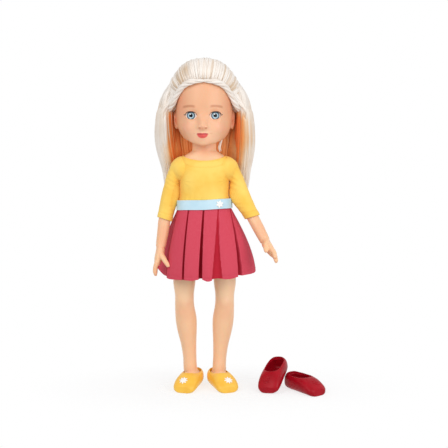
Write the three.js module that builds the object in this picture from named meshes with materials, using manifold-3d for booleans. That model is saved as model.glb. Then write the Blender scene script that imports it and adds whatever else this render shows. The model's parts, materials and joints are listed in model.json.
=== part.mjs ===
// A vinyl fashion doll in a pleated dress and ballet flats, with a spare pair of flats beside it.
// Millimetres, +Z up. The doll stands on Z = 0 and faces -Y, so its own right side is at -X.
import * as THREE from 'three';
import { mergeVertices } from 'three/addons/utils/BufferGeometryUtils.js';
import Module from 'manifold-3d';

const wasm = await Module();
wasm.setup();

// Clearances
const touch = 0.35;           // between pieces that lie against each other
const turnGap = 0.4;          // between pieces that turn on each other
const clothThick = 0.8;
const sleeveEase = 0.8;       // room between an arm and its sleeve

const farAway = 60;           // beyond any piece, for cuts that run right out

// Head and neck
const neckRadius = 12;
const neckBase = 238;         // where the torso runs out into the neck
const neckLength = 13.4;
const neckTop = neckBase + neckLength;   // the shoulder of the neck, on which the head sits
const neckY = 1.5;
const neckFlange = 2.9;       // thickness of the vinyl round the hole in the head's base
const neckHole = 8.6;
const knobRadius = 10.2;
const knobThick = 4.6;
const knobStem = 3.7;
const headWall = 2.2;
const eyeRadius = 6.6;
const eyeSpacing = 23.4;
const eyeHeight = 21;         // above the top of the neck
const eyeFront = 22.6;        // how far the eyes' fronts lie ahead of the doll's middle
const eyeDepth = 4.6;         // thickness of the cap that each eye is
const earLength = 16;

// Torso and its joints
const torsoWall = 2.2;
const torsoSplitY = 1.5;
const shoulderZ = 220.3;
const shoulderY = 0.5;
const shoulderFace = 23.4;    // flat side of the torso under each arm, from the middle
const shoulderSeat = 10.6;    // radius of the flat seat that the arm turns on
const armholeRadius = 12.9;
const plugRadius = 4;
const plugFlange = 6.6;
const plugThick = 1.8;
const hipZ = 153;
const hipY = 1;
const hipDisc = 14.6;         // radius of the round head of each leg
const crotchHalf = 7;         // half the width of the torso between the legs

// Dress
const necklineDip = 4.2;
const waistZ = 181;
const hemFront = 114;
const beltHeight = 9.4;
const beltThick = 1.1;
const beltEase = 0.6;
const beltTilt = 2.1;         // degrees; the ribbon sits a little higher on the doll's left
const beltFlowerRadius = 3.7;
const placketWidth = 9;
const pleatHem = 7;           // depth of a pleat's groove at the hem; it starts from nothing at the waist

// Shoes
const shoeWall = 1.7;
const soleThick = 1.9;
const daisyRadius = 4.2;
const daisyThick = 1.1;
const toeOut = { right: 20, left: 25 };
const ankleX = { right: 12.4, left: 13.8 };
const ankleY = 1;

// Hair
const twistRadius = 3.3;
const tieRadius = 4.6;
const tieThick = 1.3;

const finishes = {
  vinylSkin: { color: '#f2bd94', roughness: 0.55 },
  eyeAcrylic: { color: '#f4f6f8', roughness: 0.15 },
  hairNylon: { color: '#f2e4d4', roughness: 0.4 },
  hairShade: { color: '#e3a676', roughness: 0.45 },
  hairBand: { color: '#e9dccb', roughness: 0.6 },
  yellowJersey: { color: '#fbc84e', roughness: 0.85 },
  blueRibbon: { color: '#c4e0ef', roughness: 0.5 },
  whiteFelt: { color: '#fbfaf6', roughness: 0.8 },
  redTwill: { color: '#d64560', roughness: 0.85 },
  yellowVinyl: { color: '#fdbf3c', roughness: 0.5 },
  crimsonVinyl: { color: '#a81426', roughness: 0.4 },
  knobNylon: { color: '#ece7dc', roughness: 0.5 },
};

// A geometry's points are merged, its faces turned outwards, and the result is a solid for cuts and joins.
function solid(geometry) {
  const bare = geometry.index ? geometry.clone() : geometry;
  bare.deleteAttribute('normal');
  bare.deleteAttribute('uv');
  const merged = mergeVertices(bare, 1e-4);
  const points = new Float32Array(merged.getAttribute('position').array);
  const faces = new Uint32Array(merged.index.array);
  const corner = [0, 1, 2].map(() => new THREE.Vector3());
  let volume = 0;
  for (let i = 0; i < faces.length; i += 3) {
    corner.forEach((point, k) => point.fromArray(points, faces[i + k] * 3));
    volume += corner[0].dot(corner[1].cross(corner[2]));
  }
  for (let i = 0; volume < 0 && i < faces.length; i += 3) {
    [faces[i], faces[i + 1]] = [faces[i + 1], faces[i]];
  }
  return new wasm.Manifold(new wasm.Mesh({ numProp: 3, vertProperties: points, triVerts: faces }));
}

// The values of a list of stations at a share t of the way through it, on a smooth curve.
function through(stations, t) {
  const last = stations.length - 1;
  const at = Math.min(Math.max(t * last, 0), last);
  const i = Math.min(Math.floor(at), last - 1);
  const s = at - i;
  const before = stations[Math.max(i - 1, 0)];
  const after = stations[Math.min(i + 2, last)];
  return stations[i].map((a, k) => {
    const b = stations[i + 1][k];
    const start = (b - before[k]) / 2;
    const end = (after[k] - a) / 2;
    return a * (2 * s ** 3 - 3 * s ** 2 + 1) + start * (s ** 3 - 2 * s ** 2 + s)
      + b * (3 * s ** 2 - 2 * s ** 3) + end * (s ** 3 - s ** 2);
  });
}

// A closed cylinder drawn onto rings: ringAt(t) gives each ring's centre and its two half axes.
function column(sides, rows, ringAt, square = 2) {
  const geometry = new THREE.CylinderGeometry(1, 1, 1, sides, rows);
  const position = geometry.getAttribute('position');
  const rings = Array.from({ length: rows + 1 }, (_, row) => ringAt(row / rows));
  for (let i = 0; i < position.count; i += 1) {
    const ring = rings[Math.round((position.getY(i) + 0.5) * rows)];
    const [across, deep] = [position.getX(i), position.getZ(i)];
    const bulge = square === 2 || across ** 2 + deep ** 2 < 0.5 ? 1
      : (Math.abs(across) ** square + Math.abs(deep) ** square) ** (-1 / square);
    const point = ring.centre.clone()
      .addScaledVector(ring.wide, across * bulge)
      .addScaledVector(ring.deep, deep * bulge);
    position.setXYZ(i, point.x, point.y, point.z);
  }
  return geometry;
}

// A limb through stations [x, y, z, half width, half depth], its rings square to its run. The depth is
// measured towards an axis that the run never follows.
function limb(stations, sides, rows, grow = 0, axis = [0, 1, 0]) {
  const step = 1 / (stations.length * 8);
  return column(sides, rows, (t) => {
    const [x, y, z, wide, deep] = through(stations, t);
    const ahead = new THREE.Vector3(...through(stations, Math.min(t + step, 1)));
    const behind = new THREE.Vector3(...through(stations, Math.max(t - step, 0)));
    const run = ahead.sub(behind).normalize();
    const side = new THREE.Vector3(...axis).cross(run).normalize();
    const front = run.clone().cross(side);
    const end = t === 0 ? -grow : t === 1 ? grow : 0;
    return {
      centre: new THREE.Vector3(x, y, z).addScaledVector(run, end),
      wide: side.multiplyScalar(wide + grow),
      deep: front.multiplyScalar(deep + grow),
    };
  });
}

// An upright form through stations [z, half width, front y, back y].
function upright(stations, sides, rows, grow = 0, square = 2) {
  return column(sides, rows, (t) => {
    const [z, wide, front, back] = through(stations, t);
    return {
      centre: new THREE.Vector3(0, (front + back) / 2, z),
      wide: new THREE.Vector3(wide + grow, 0, 0),
      deep: new THREE.Vector3(0, (back - front) / 2 + grow, 0),
    };
  }, square);
}

// A sheet as a thin box of columns by rows: place(u, v, w) puts each point, with w 0 outside and 1 inside.
function sheet(columns, rows, place) {
  const geometry = new THREE.BoxGeometry(1, 1, 1, columns, rows, 1);
  const position = geometry.getAttribute('position');
  for (let i = 0; i < position.count; i += 1) {
    const point = place(position.getX(i) + 0.5, position.getY(i) + 0.5, position.getZ(i) + 0.5);
    position.setXYZ(i, point.x, point.y, point.z);
  }
  return geometry;
}

// A turned form about the line through a point, along X or Z: profile points are [along, radius].
function turned(profile, axis, at, sides = 24) {
  const geometry = new THREE.LatheGeometry(profile.map(([along, r]) => new THREE.Vector2(r, along)), sides);
  if (axis === 'x') geometry.rotateZ(-Math.PI / 2);
  if (axis === 'z') geometry.rotateX(Math.PI / 2);
  return geometry.translate(...at);
}

function disc(axis, from, to, radius, at, sides = 24) {
  return turned([[from, 0], [from, radius], [to, radius], [to, 0]], axis, at, sides);
}

function block(from, to) {
  const size = to.map((value, k) => value - from[k]);
  const middle = to.map((value, k) => (value + from[k]) / 2);
  return new THREE.BoxGeometry(...size).translate(...middle);
}

// Points near a place are pulled by an offset that fades to nothing at the reach, as a thumb models clay.
function pull(geometry, pulls) {
  const position = geometry.getAttribute('position');
  const point = new THREE.Vector3();
  for (let i = 0; i < position.count; i += 1) {
    point.fromBufferAttribute(position, i);
    for (const { at, by, reach } of pulls) {
      const near = 1 - Math.min(point.distanceTo(new THREE.Vector3(...at)) / reach, 1);
      point.addScaledVector(new THREE.Vector3(...by), near * near * (3 - 2 * near));
    }
    position.setXYZ(i, point.x, point.y, point.z);
  }
  return geometry;
}

const doll = new THREE.Group();

function piece(name, body, finish) {
  const mesh = body.getMesh();
  const geometry = new THREE.BufferGeometry();
  geometry.setAttribute('position', new THREE.BufferAttribute(new Float32Array(mesh.vertProperties), 3));
  geometry.setIndex(new THREE.BufferAttribute(new Uint32Array(mesh.triVerts), 1));
  geometry.computeVertexNormals();
  const material = new THREE.MeshStandardMaterial({ ...finishes[finish], metalness: 0 });
  const made = new THREE.Mesh(geometry, material);
  made.name = name;
  doll.add(made);
  return made;
}

const sidesOfDoll = [['right', -1], ['left', 1]];

// Head: rings up the face, as [centre y, centre z above the neck, half width, half depth, tilt in degrees].
const headRings = [
  [3, 0.4, 6, 6, 0],
  [1.5, -0.6, 14, 15, 4],
  [-0.5, -1.8, 18.5, 20, 12],
  [-0.3, 0, 20.8, 23, 15],
  [0.3, 4.8, 23.8, 25.2, 13],
  [1.2, 11.1, 26.2, 27.6, 10],
  [2.2, 19.1, 27.6, 29.2, 7],
  [2.7, 28.6, 28.2, 30, 4],
  [2.9, 37.6, 28.4, 30, 2],
  [3.1, 47.1, 27.8, 29, 0],
  [3.3, 56.1, 25.5, 26.3, 0],
  [3.5, 63.6, 20.8, 21.3, 0],
  [3.5, 68.6, 13.5, 13.5, 0],
  [3.5, 70.6, 5.7, 5.7, 0],
];

function headForm(sides, rows, grow) {
  return column(sides, rows, (t) => {
    const [y, z, wide, deep, tilt] = through(headRings, t);
    const lean = THREE.MathUtils.degToRad(tilt);
    const lift = grow * THREE.MathUtils.clamp(t * 6 - 3, -1, 1);
    return {
      centre: new THREE.Vector3(0, y, neckTop + z + lift),
      wide: new THREE.Vector3(wide + grow, 0, 0),
      deep: new THREE.Vector3(0, (deep + grow) * Math.cos(lean), (deep + grow) * Math.sin(lean)),
    };
  });
}

const eyeX = eyeSpacing / 2;
const eyeZ = neckTop + eyeHeight;
const face = [
  { at: [0, -25, neckTop - 5], by: [0, -1.8, -2.2], reach: 11 },
  { at: [0, -27, neckTop + 10.8], by: [0, -6.6, -0.6], reach: 6.6 },
  { at: [0, -27, neckTop + 16.5], by: [0, -2.4, 0], reach: 7 },
  { at: [0, -26, neckTop + 2.6], by: [0, -2.2, 0], reach: 7.5 },
  { at: [eyeX, -27, eyeZ], by: [0, 2.6, 0], reach: 8.5 },
  { at: [-eyeX, -27, eyeZ], by: [0, 2.6, 0], reach: 8.5 },
  { at: [15, -22, neckTop + 9], by: [1, -1.6, 0], reach: 11 },
  { at: [-15, -22, neckTop + 9], by: [-1, -1.6, 0], reach: 11 },
];

function ear(side) {
  const top = neckTop + 25.5;
  return solid(limb([
    [side * 24.6, 4, top - earLength, 2, 1.5],
    [side * 27.6, 4.5, top - earLength * 0.75, 2.6, 2.6],
    [side * 30, 6, top - earLength * 0.35, 2.8, 4.2],
    [side * 30, 6.5, top - earLength * 0.1, 2.4, 3.6],
    [side * 28.5, 6, top, 1.5, 1.5],
  ], 6, 4));
}

function eyeBall(side, radius) {
  return solid(new THREE.SphereGeometry(radius, 12, 8).translate(side * eyeX, eyeRadius - eyeFront, eyeZ));
}

function makeHead() {
  let head = solid(pull(headForm(24, 15, 0), face));
  sidesOfDoll.forEach(([, side]) => { head = head.add(ear(side)); });
  head = head.subtract(solid(headForm(8, 6, -headWall)).subtract(
    solid(disc('z', -20, neckTop + turnGap + neckFlange, 40, [0, 0, 0]))));
  head = head.subtract(solid(disc('z', 0, neckTop + turnGap, neckRadius + turnGap * 2, [0, neckY, 0], 24)));
  head = head.subtract(solid(disc('z', 0, neckTop + 20, neckHole, [0, neckY, 0], 20)));
  const behindEyes = solid(block([-farAway, eyeDepth - eyeFront, 0], [farAway, farAway, eyeZ + farAway]));
  sidesOfDoll.forEach(([name, side]) => {
    piece(`eye_${name}`, eyeBall(side, eyeRadius).subtract(behindEyes), 'eyeAcrylic');
    head = head.subtract(eyeBall(side, eyeRadius + touch));
  });
  piece('head', head, 'vinylSkin');
}

makeHead();

// Hair: the crown's outline as [z, half width, front y, back y].
const crownRings = [
  [neckTop + 13, 35, -1, 37],
  [neckTop + 21, 38.5, -5, 39.5],
  [neckTop + 31, 41, -11, 40.5],
  [neckTop + 41, 41, -20, 40],
  [neckTop + 51, 37.5, -26.5, 37.5],
  [neckTop + 61, 30.5, -26.5, 32],
  [neckTop + 69, 21.5, -22.5, 25],
  [neckTop + 75, 13, -17, 16],
  [neckTop + 78.4, 5, -10, 6],
];

function twist(side, grow) {
  return limb([
    [side * 2.2, -28.6, neckTop + 54.5, 2, 2],
    [side * 11.5, -27.6, neckTop + 53, 3, 3],
    [side * 21, -23.4, neckTop + 46.5, twistRadius, twistRadius],
    [side * 28.4, -14.5, neckTop + 36.5, twistRadius, twistRadius],
    [side * 36, -4, neckTop + 29.5, twistRadius, twistRadius],
    [side * 40.6, 10, neckTop + 27, twistRadius, twistRadius],
    [side * 36.5, 25, neckTop + 28.5, twistRadius, twistRadius],
    [side * 22, 38.5, neckTop + 30.5, 3, 3],
    [side * 8.5, 43.4, neckTop + 31, 2.4, 2.4],
  ], 7, 16, grow, [0, 0, 1]);
}

function sideFall(side, grow) {
  return limb([
    [side * 37, 2, neckTop + 45, 3, 6],
    [side * 40.5, 3, neckTop + 37, 5.4, 9],
    [side * 41.4, 4.5, neckTop + 25, 7, 12],
    [side * 42, 7.5, neckTop + 11, 8.8, 13],
    [side * 41.2, 11.5, neckTop - 4, 9.8, 11.5],
    [side * 38.8, 15.8, neckTop - 18, 9.4, 8.6],
    [side * 35.6, 20.2, neckTop - 31, 8, 6.6],
    [side * 34.6, 21.8, neckTop - 44, 7.2, 5],
    [side * 34, 22.2, neckTop - 56, 5.4, 3.4],
    [side * 33.5, 22.2, neckTop - 61.5, 3, 1.8],
  ], 10, 15, grow);
}

function tail(grow) {
  return limb([
    [0, 43.2, neckTop + 32.5, 3.4, 2.6],
    [0, 45.4, neckTop + 28.5, 3.2, 2.8],
    [0, 46.8, neckTop + 20, 6, 3.2],
    [0, 45.6, neckTop + 6, 8, 3.2],
    [0, 42, neckTop - 10, 7.4, 3],
    [0, 38.4, neckTop - 25, 5, 2.4],
    [0, 36.8, neckTop - 33, 2, 1.4],
  ], 8, 10, grow);
}

function backFall() {
  return solid(upright([
    [neckTop - 63, 20, 20.5, 23.5],
    [neckTop - 58, 25, 20, 26],
    [neckTop - 45, 27.4, 20, 29],
    [neckTop - 30, 28, 19, 31],
    [neckTop - 19, 30.5, 17, 33],
    [neckTop - 7, 33.5, 15, 35.5],
    [neckTop + 4, 34.4, 16, 37],
    [neckTop + 12.4, 34, 20, 37.5],
  ], 20, 10, 0, 3));
}

function makeHair() {
  const scalp = solid(headForm(16, 9, touch * 3.5));
  const nape = solid(disc('z', 0, neckTop + 6, neckRadius + 2, [0, neckY, 0], 20));
  const faceOpening = solid(column(20, 1, (t) => ({
    centre: new THREE.Vector3(0, THREE.MathUtils.lerp(-60, -5, t), neckTop + 18.5),
    wide: new THREE.Vector3(29, 0, 0),
    deep: new THREE.Vector3(0, 0, 33),
  })));
  const ears = ear(1).add(ear(-1));
  const crownRoom = solid(upright(crownRings, 18, 10, touch));
  const tieRoom = solid(tieRing(touch, 14));
  let crown = solid(upright(crownRings, 18, 10)).subtract(scalp).subtract(faceOpening).subtract(ears);
  let back = backFall().subtract(scalp).subtract(nape);
  sidesOfDoll.forEach(([name, side]) => {
    const twistGap = solid(twist(side, touch));
    crown = crown.subtract(twistGap);
    piece(`hair_twist_${name}`, solid(twist(side, 0)).subtract(scalp), 'hairNylon');
    const fall = solid(sideFall(side, 0)).subtract(twistGap).subtract(crownRoom);
    piece(`hair_side_${name}`, fall, 'hairNylon');
    back = back.subtract(solid(sideFall(side, touch)));
  });
  const tailRoom = solid(tail(touch));
  piece('hair_crown', crown.subtract(tailRoom).subtract(tieRoom), 'hairNylon');
  piece('hair_back', back.subtract(tailRoom), 'hairShade');
  piece('hair_tie', solid(tieRing(0, 14)), 'hairBand');
  piece('hair_tail', solid(tail(0)).subtract(tieRoom), 'hairNylon');
}

function tieRing(grow, sides) {
  return new THREE.TorusGeometry(tieRadius, tieThick + grow, 6, sides).rotateX(0.35)
    .translate(0, 45.4, neckTop + 28.5);
}

makeHair();

// Torso rings as [z, half width, front y, back y].
const torsoRings = [
  [137, 17, -8, 10],
  [142, 24, -12, 14],
  [151, 27.6, -15.5, 17.5],
  [161, 28, -17, 18.5],
  [172, 25.4, -16, 16],
  [185, 23.2, -14.5, 14],
  [197, 23.3, -15, 14],
  [208, 23.5, -16, 14.5],
  [219, 23.6, -15.5, 14.5],
  [228, 23.2, -13.3, 14],
  [232.5, 21, -12, 13.9],
  [236, 16, -11.1, 13.8],
  [neckBase, 12.5, -10.8, 13.8],
];

const torsoSquare = 2.3;      // 2 would be an ellipse; more is squarer

function torsoForm(sides, rows, grow) {
  return solid(upright(torsoRings, sides, rows, grow, torsoSquare));
}

// The room that the thigh needs below and in front of its round head, when it swings from behind to sitting.
function thighRoom(side) {
  const inner = crotchHalf + turnGap;
  const roundRoom = solid(disc('x', inner, 60, hipDisc + turnGap, [0, hipY, hipZ], 20));
  const below = solid(block([inner, -60, 60], [60, hipY, hipZ + hipDisc + turnGap]));
  const behind = solid(block([inner, -30, -60], [60, 60, 0]).rotateX(THREE.MathUtils.degToRad(22))
    .translate(0, hipY, hipZ));
  const room = roundRoom.add(below).add(behind);
  return side > 0 ? room : room.mirror([1, 0, 0]);
}

function makeTorso() {
  const shoulderCut = solid(disc('x', shoulderFace, 60, 40, [0, shoulderY, shoulderZ], 24))
    .intersect(solid(block([0, -60, shoulderZ - 14], [60, 60, 300])));
  let body = torsoForm(18, 11, 0);
  let hollow = torsoForm(10, 6, -torsoWall).intersect(solid(block([-60, -60, 141], [60, 60, 234])));
  const collarTop = neckTop + neckFlange + turnGap * 2;
  const collar = neckHole - turnGap;
  const neck = [[neckBase - 12, 0], [neckBase - 12, neckRadius - 1], [neckBase, neckRadius + 0.2],
    [neckTop, neckRadius - 0.2], [neckTop, collar], [collarTop, collar], [collarTop, 0]];
  body = body.add(solid(turned(neck, 'z', [0, neckY, 0], 24)));
  body = body.add(solid(disc('x', -shoulderFace, shoulderFace, shoulderSeat, [0, shoulderY, shoulderZ])));
  sidesOfDoll.forEach(([, side]) => {
    const facing = side > 0 ? shoulderCut : shoulderCut.mirror([1, 0, 0]);
    body = body.subtract(facing).subtract(thighRoom(side));
  });
  const seatWall = shoulderFace - torsoWall;
  hollow = hollow.intersect(solid(block([-seatWall, -60, 0], [seatWall, 60, 300])));
  const plugRoom = disc('x', -seatWall, seatWall, plugFlange + touch, [0, shoulderY, shoulderZ], 16);
  hollow = hollow.add(solid(plugRoom));
  const keel = solid(block([-crotchHalf + torsoWall, -8, 141], [crotchHalf - torsoWall, 10, 170]));
  const hipRoof = solid(block([-60, -60, hipZ + hipDisc + torsoWall + turnGap * 2], [60, 60, 300]));
  hollow = hollow.intersect(hipRoof).add(keel);
  body = body.subtract(hollow);
  body = body.subtract(solid(disc('z', 200, neckTop + 20, knobStem + touch, [0, neckY, 0], 12)));
  body = body.subtract(solid(disc('x', -60, 60, plugRadius + turnGap, [0, shoulderY, shoulderZ], 14)));
  body = body.subtract(solid(disc('x', -60, 60, plugRadius + turnGap, [0, hipY, hipZ], 14)));
  const front = solid(block([-80, -80, 0], [80, torsoSplitY - touch / 2, 400]));
  const back = solid(block([-80, torsoSplitY + touch / 2, 0], [80, 80, 400]));
  piece('torso_front_shell', body.intersect(front), 'vinylSkin');
  piece('torso_back_shell', body.intersect(back), 'vinylSkin');

  const under = collarTop + turnGap;
  const knob = [[neckTop - 14, 0], [neckTop - 14, knobStem], [under, knobStem], [under, knobRadius],
    [under + knobThick * 0.5, knobRadius], [under + knobThick, knobRadius * 0.6], [under + knobThick, 0]];
  piece('neck_knob', solid(turned(knob, 'z', [0, neckY, 0], 14)), 'knobNylon');
}

makeTorso();

// Arms as [x, y, z, half width, half depth] from the shoulder to the wrist, with how the hand hangs.
const arms = {
  right: {
    stations: [
      [28.6, 0.5, 223, 3.2, 6.6],
      [31.2, 0.3, 213, 4.9, 7],
      [33.2, 0, 203, 5.6, 6.5],
      [35.6, -0.7, 192, 6.1, 6.3],
      [37.8, -2, 180, 6.1, 6],
      [40, -4, 168, 5.8, 5.8],
      [41.2, -5.5, 158, 5.4, 5.4],
      [42.6, -7, 149, 4.9, 5],
      [43.4, -8, 143, 4.4, 4.9],
    ],
    handLean: 0,
    handPitch: 0,
    cuff: { at: [39.9, -4, 170.6], lean: 18 },
  },
  left: {
    stations: [
      [28.8, 0.5, 223, 3.2, 6.6],
      [31.6, 0.2, 213, 5, 7],
      [34.6, -1, 203, 6, 6.5],
      [38, -3, 193, 6.4, 6.3],
      [42.6, -6.5, 183, 6.1, 6],
      [48.2, -11.5, 172.6, 5.8, 5.8],
      [53, -16, 163.6, 5.4, 5.4],
      [57.2, -20, 155.6, 5, 5.1],
      [60, -22.6, 150.4, 4.5, 4.9],
    ],
    handLean: 16,
    handPitch: 32,
    cuff: { at: [47.8, -11, 173.4], lean: 17 },
  },
};

const sleeveFace = shoulderFace + turnGap * 2.4;   // where the sleeve starts, inside the bodice's armhole

// The hand hangs from the wrist at the origin, palm towards -X and thumb towards -Y, for the doll's left.
function hand() {
  let made = solid(limb([
    [0, 0, 1.5, 4.4, 4.9], [0.6, -0.5, -3.5, 4.1, 5.7], [2, -1, -10, 3.6, 6.5], [3, -1.4, -14.5, 3, 6.3],
    [3.3, -1.5, -17, 2.2, 5.6],
  ], 8, 5));
  const tips = [[-6.2, 14], [-3, 15.4], [0.3, 14.4], [3.4, 11.4]];
  tips.forEach(([y, length]) => {
    made = made.add(solid(limb([
      [3.1, y, -13, 1.8, 1.8], [4.4, y * 1.05, -13 - length * 0.5, 1.8, 1.75],
      [4.6, y * 1.02, -13 - length * 0.85, 1.6, 1.5], [4.2, y, -13 - length, 0.9, 0.9],
    ], 5, 3)));
  });
  return made.add(solid(limb([
    [0.4, -4, -5, 2.2, 2.4], [-1.6, -7.2, -10, 2.2, 2.3], [-4, -9, -15, 2, 1.9], [-5.4, -9.8, -18.6, 1, 1],
  ], 5, 3)));
}

// The round top of the arm, turned about the shoulder's axis so that it can swing: [x, radius].
function shoulderCap(grow, inner = shoulderFace + turnGap * 2) {
  return turned([
    [inner, 0], [inner, 10.7 + grow], [27, 9.8 + grow], [29.6, 7.9 + grow], [31.6, 5.4 + grow * 1.1],
    [33.2 + grow * 0.5, 1.8 + grow], [33.4 + grow * 0.8, 0],
  ], 'x', [0, shoulderY, shoulderZ], 14);
}

function armPlug() {
  const inside = shoulderFace - torsoWall - touch - plugThick;
  return turned([
    [inside, 0], [inside, plugFlange], [inside + plugThick, plugFlange], [inside + plugThick, plugRadius],
    [shoulderFace + 4, plugRadius], [shoulderFace + 4, 0],
  ], 'x', [0, shoulderY, shoulderZ], 14);
}

function makeArm(name, side) {
  const { stations, handLean, handPitch, cuff } = arms[name];
  const wrist = stations[stations.length - 1];
  const turnHand = new THREE.Matrix4().makeRotationY(THREE.MathUtils.degToRad(-handLean))
    .multiply(new THREE.Matrix4().makeRotationX(THREE.MathUtils.degToRad(-handPitch)));
  const placeHand = new THREE.Matrix4().makeTranslation(wrist[0], wrist[1], wrist[2]).multiply(turnHand);
  const clearOfBody = solid(block([shoulderFace + turnGap * 2, -90, 60], [140, 90, 300]));
  let arm = solid(limb(stations, 9, 9)).add(solid(shoulderCap(0))).intersect(clearOfBody);
  arm = arm.add(solid(armPlug())).add(hand().transform(placeHand.elements));

  const cuffCut = solid(block([-60, -60, -80], [60, 60, 0])
    .rotateY(THREE.MathUtils.degToRad(-cuff.lean)).translate(...cuff.at));
  const grownOut = sleeveEase + clothThick;
  const armhole = solid(disc('x', 0, 90, armholeRadius - touch, [0, shoulderY, shoulderZ]));
  const bodiceRoom = solid(block([0, -90, 60], [torsoSide(), 90, 300])).subtract(armhole)
    .add(solid(block([0, -90, 60], [sleeveFace, 90, 300])));
  const inside = solid(limb(stations, 9, 9, sleeveEase)).add(solid(shoulderCap(sleeveEase, sleeveFace - 5)));
  const sleeve = solid(limb(stations, 9, 9, grownOut)).add(solid(shoulderCap(grownOut, sleeveFace - 5)))
    .subtract(inside).subtract(bodiceRoom).subtract(cuffCut);
  const parts = [[`arm_${name}`, arm, 'vinylSkin'], [`sleeve_${name}`, sleeve, 'yellowJersey']];
  parts.forEach(([label, body, finish]) => {
    piece(label, side > 0 ? body : body.mirror([1, 0, 0]), finish);
  });
}

// Half the width of the bodice at its widest, with a little room for the sleeves that hang beside it.
function torsoSide() {
  const widest = Math.max(...torsoRings.filter(([z]) => z > waistZ).map(([, wide]) => wide));
  return widest + touch + clothThick + touch;
}

sidesOfDoll.forEach(([name, side]) => makeArm(name, side));

// Dress
function makeBodice() {
  const outer = touch + clothThick;
  const between = solid(block([-60, -60, waistZ + touch / 2], [60, 60, neckBase]));
  let bodice = torsoForm(18, 11, outer).subtract(torsoForm(18, 11, touch)).intersect(between);
  const halfChord = torsoSide() - 1;
  const dipRadius = (halfChord ** 2 + necklineDip ** 2) / (2 * necklineDip);
  const neckline = neckBase - 9;
  bodice = bodice.subtract(solid(new THREE.CylinderGeometry(dipRadius, dipRadius, 120, 96)
    .translate(0, 0, neckline + dipRadius)));
  bodice = bodice.subtract(solid(disc('x', -90, 90, armholeRadius, [0, shoulderY, shoulderZ], 18)));
  const placketBack = solid(block([-placketWidth / 2, 0, waistZ + beltHeight * 0.6],
    [placketWidth / 2, 60, neckline - 1]));
  const placket = torsoForm(18, 11, outer + touch + clothThick).subtract(torsoForm(18, 11, outer + touch))
    .intersect(placketBack);
  piece('bodice', bodice.subtract(solid(block([-touch / 2, 0, 0], [touch / 2, 60, 300]))), 'yellowJersey');
  piece('back_placket', placket, 'yellowJersey');

  const beltIn = outer + beltEase;
  const tilt = THREE.MathUtils.degToRad(-beltTilt);
  const slice = solid(block([-60, -60, -beltHeight / 2], [60, 60, beltHeight / 2]).rotateY(tilt)
    .translate(0, 0, waistZ + beltHeight / 2));
  const belt = solid(upright(beltRings(beltIn + beltThick), 28, 1, 0, torsoSquare))
    .subtract(solid(upright(beltRings(beltIn), 28, 1, 0, torsoSquare))).intersect(slice);
  piece('belt', belt, 'blueRibbon');
}

// The belt is a flat ribbon, so its rings are as wide as the widest of what it goes round.
function beltRings(grow) {
  const reach = [waistZ - beltHeight * 0.3, waistZ, waistZ + beltHeight].map((z) => torsoAt(z));
  const widest = [1, 3].map((k) => Math.max(...reach.map((ring) => ring[k])));
  const front = Math.min(...reach.map((ring) => ring[2]));
  return [waistZ - beltHeight * 2, waistZ + beltHeight * 2]
    .map((z) => [z, widest[0] + grow, front - grow, widest[1] + grow]);
}

// The ring of a form whose first value is the one asked for: its curve is followed until it gets there.
function ringWhere(stations, value) {
  const steps = 400;
  const found = Array.from({ length: steps + 1 }, (_, i) => through(stations, i / steps))
    .find((ring) => ring[0] >= value);
  return found ?? stations[stations.length - 1];
}

function torsoAt(z) {
  return ringWhere(torsoRings, z);
}

makeBodice();

// A flat flower: petals round a centre, with rounded edges.
function flower(petals, radius, thick) {
  const outline = new THREE.Shape();
  const pointCount = petals * 4;
  const points = Array.from({ length: pointCount }, (_, i) => {
    const turn = (i / pointCount) * Math.PI * 2;
    const reach = radius * (0.7 + 0.3 * Math.cos(turn * petals));
    return new THREE.Vector2(reach * Math.cos(turn), reach * Math.sin(turn));
  });
  outline.setFromPoints(points);
  const leaf = solid(new THREE.ExtrudeGeometry(outline, { depth: thick * 0.7, bevelEnabled: false }));
  const button = [[0, 0], [0, radius * 0.3], [thick * 0.9, radius * 0.28], [thick * 1.15, radius * 0.15],
    [thick * 1.2, 0]];
  const centre = solid(turned(button, 'z', [0, 0, 0], 8));
  return leaf.add(centre);
}

function placed(body, at, turnX, turnZ, turnY = 0) {
  const matrix = new THREE.Matrix4().makeTranslation(...at)
    .multiply(new THREE.Matrix4().makeRotationZ(THREE.MathUtils.degToRad(turnZ)))
    .multiply(new THREE.Matrix4().makeRotationX(THREE.MathUtils.degToRad(turnX)))
    .multiply(new THREE.Matrix4().makeRotationY(THREE.MathUtils.degToRad(turnY)));
  return body.transform(matrix.elements);
}

const beltFront = beltRings(touch + clothThick + beltEase + beltThick)[0];
const beltFlowerX = 15.4;
const beltFlowerTurn = 18;
const beltFlowerY = (beltFront[2] + beltFront[3]) / 2 - (beltFront[3] - beltFront[2]) / 2
  * (1 - (beltFlowerX / beltFront[1]) ** torsoSquare) ** (1 / torsoSquare) - touch - 0.5;
piece('belt_flower', placed(flower(6, beltFlowerRadius, 1.2),
  [beltFlowerX, beltFlowerY, waistZ + beltHeight / 2 + 0.6], 90, beltFlowerTurn), 'whiteFelt');

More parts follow.
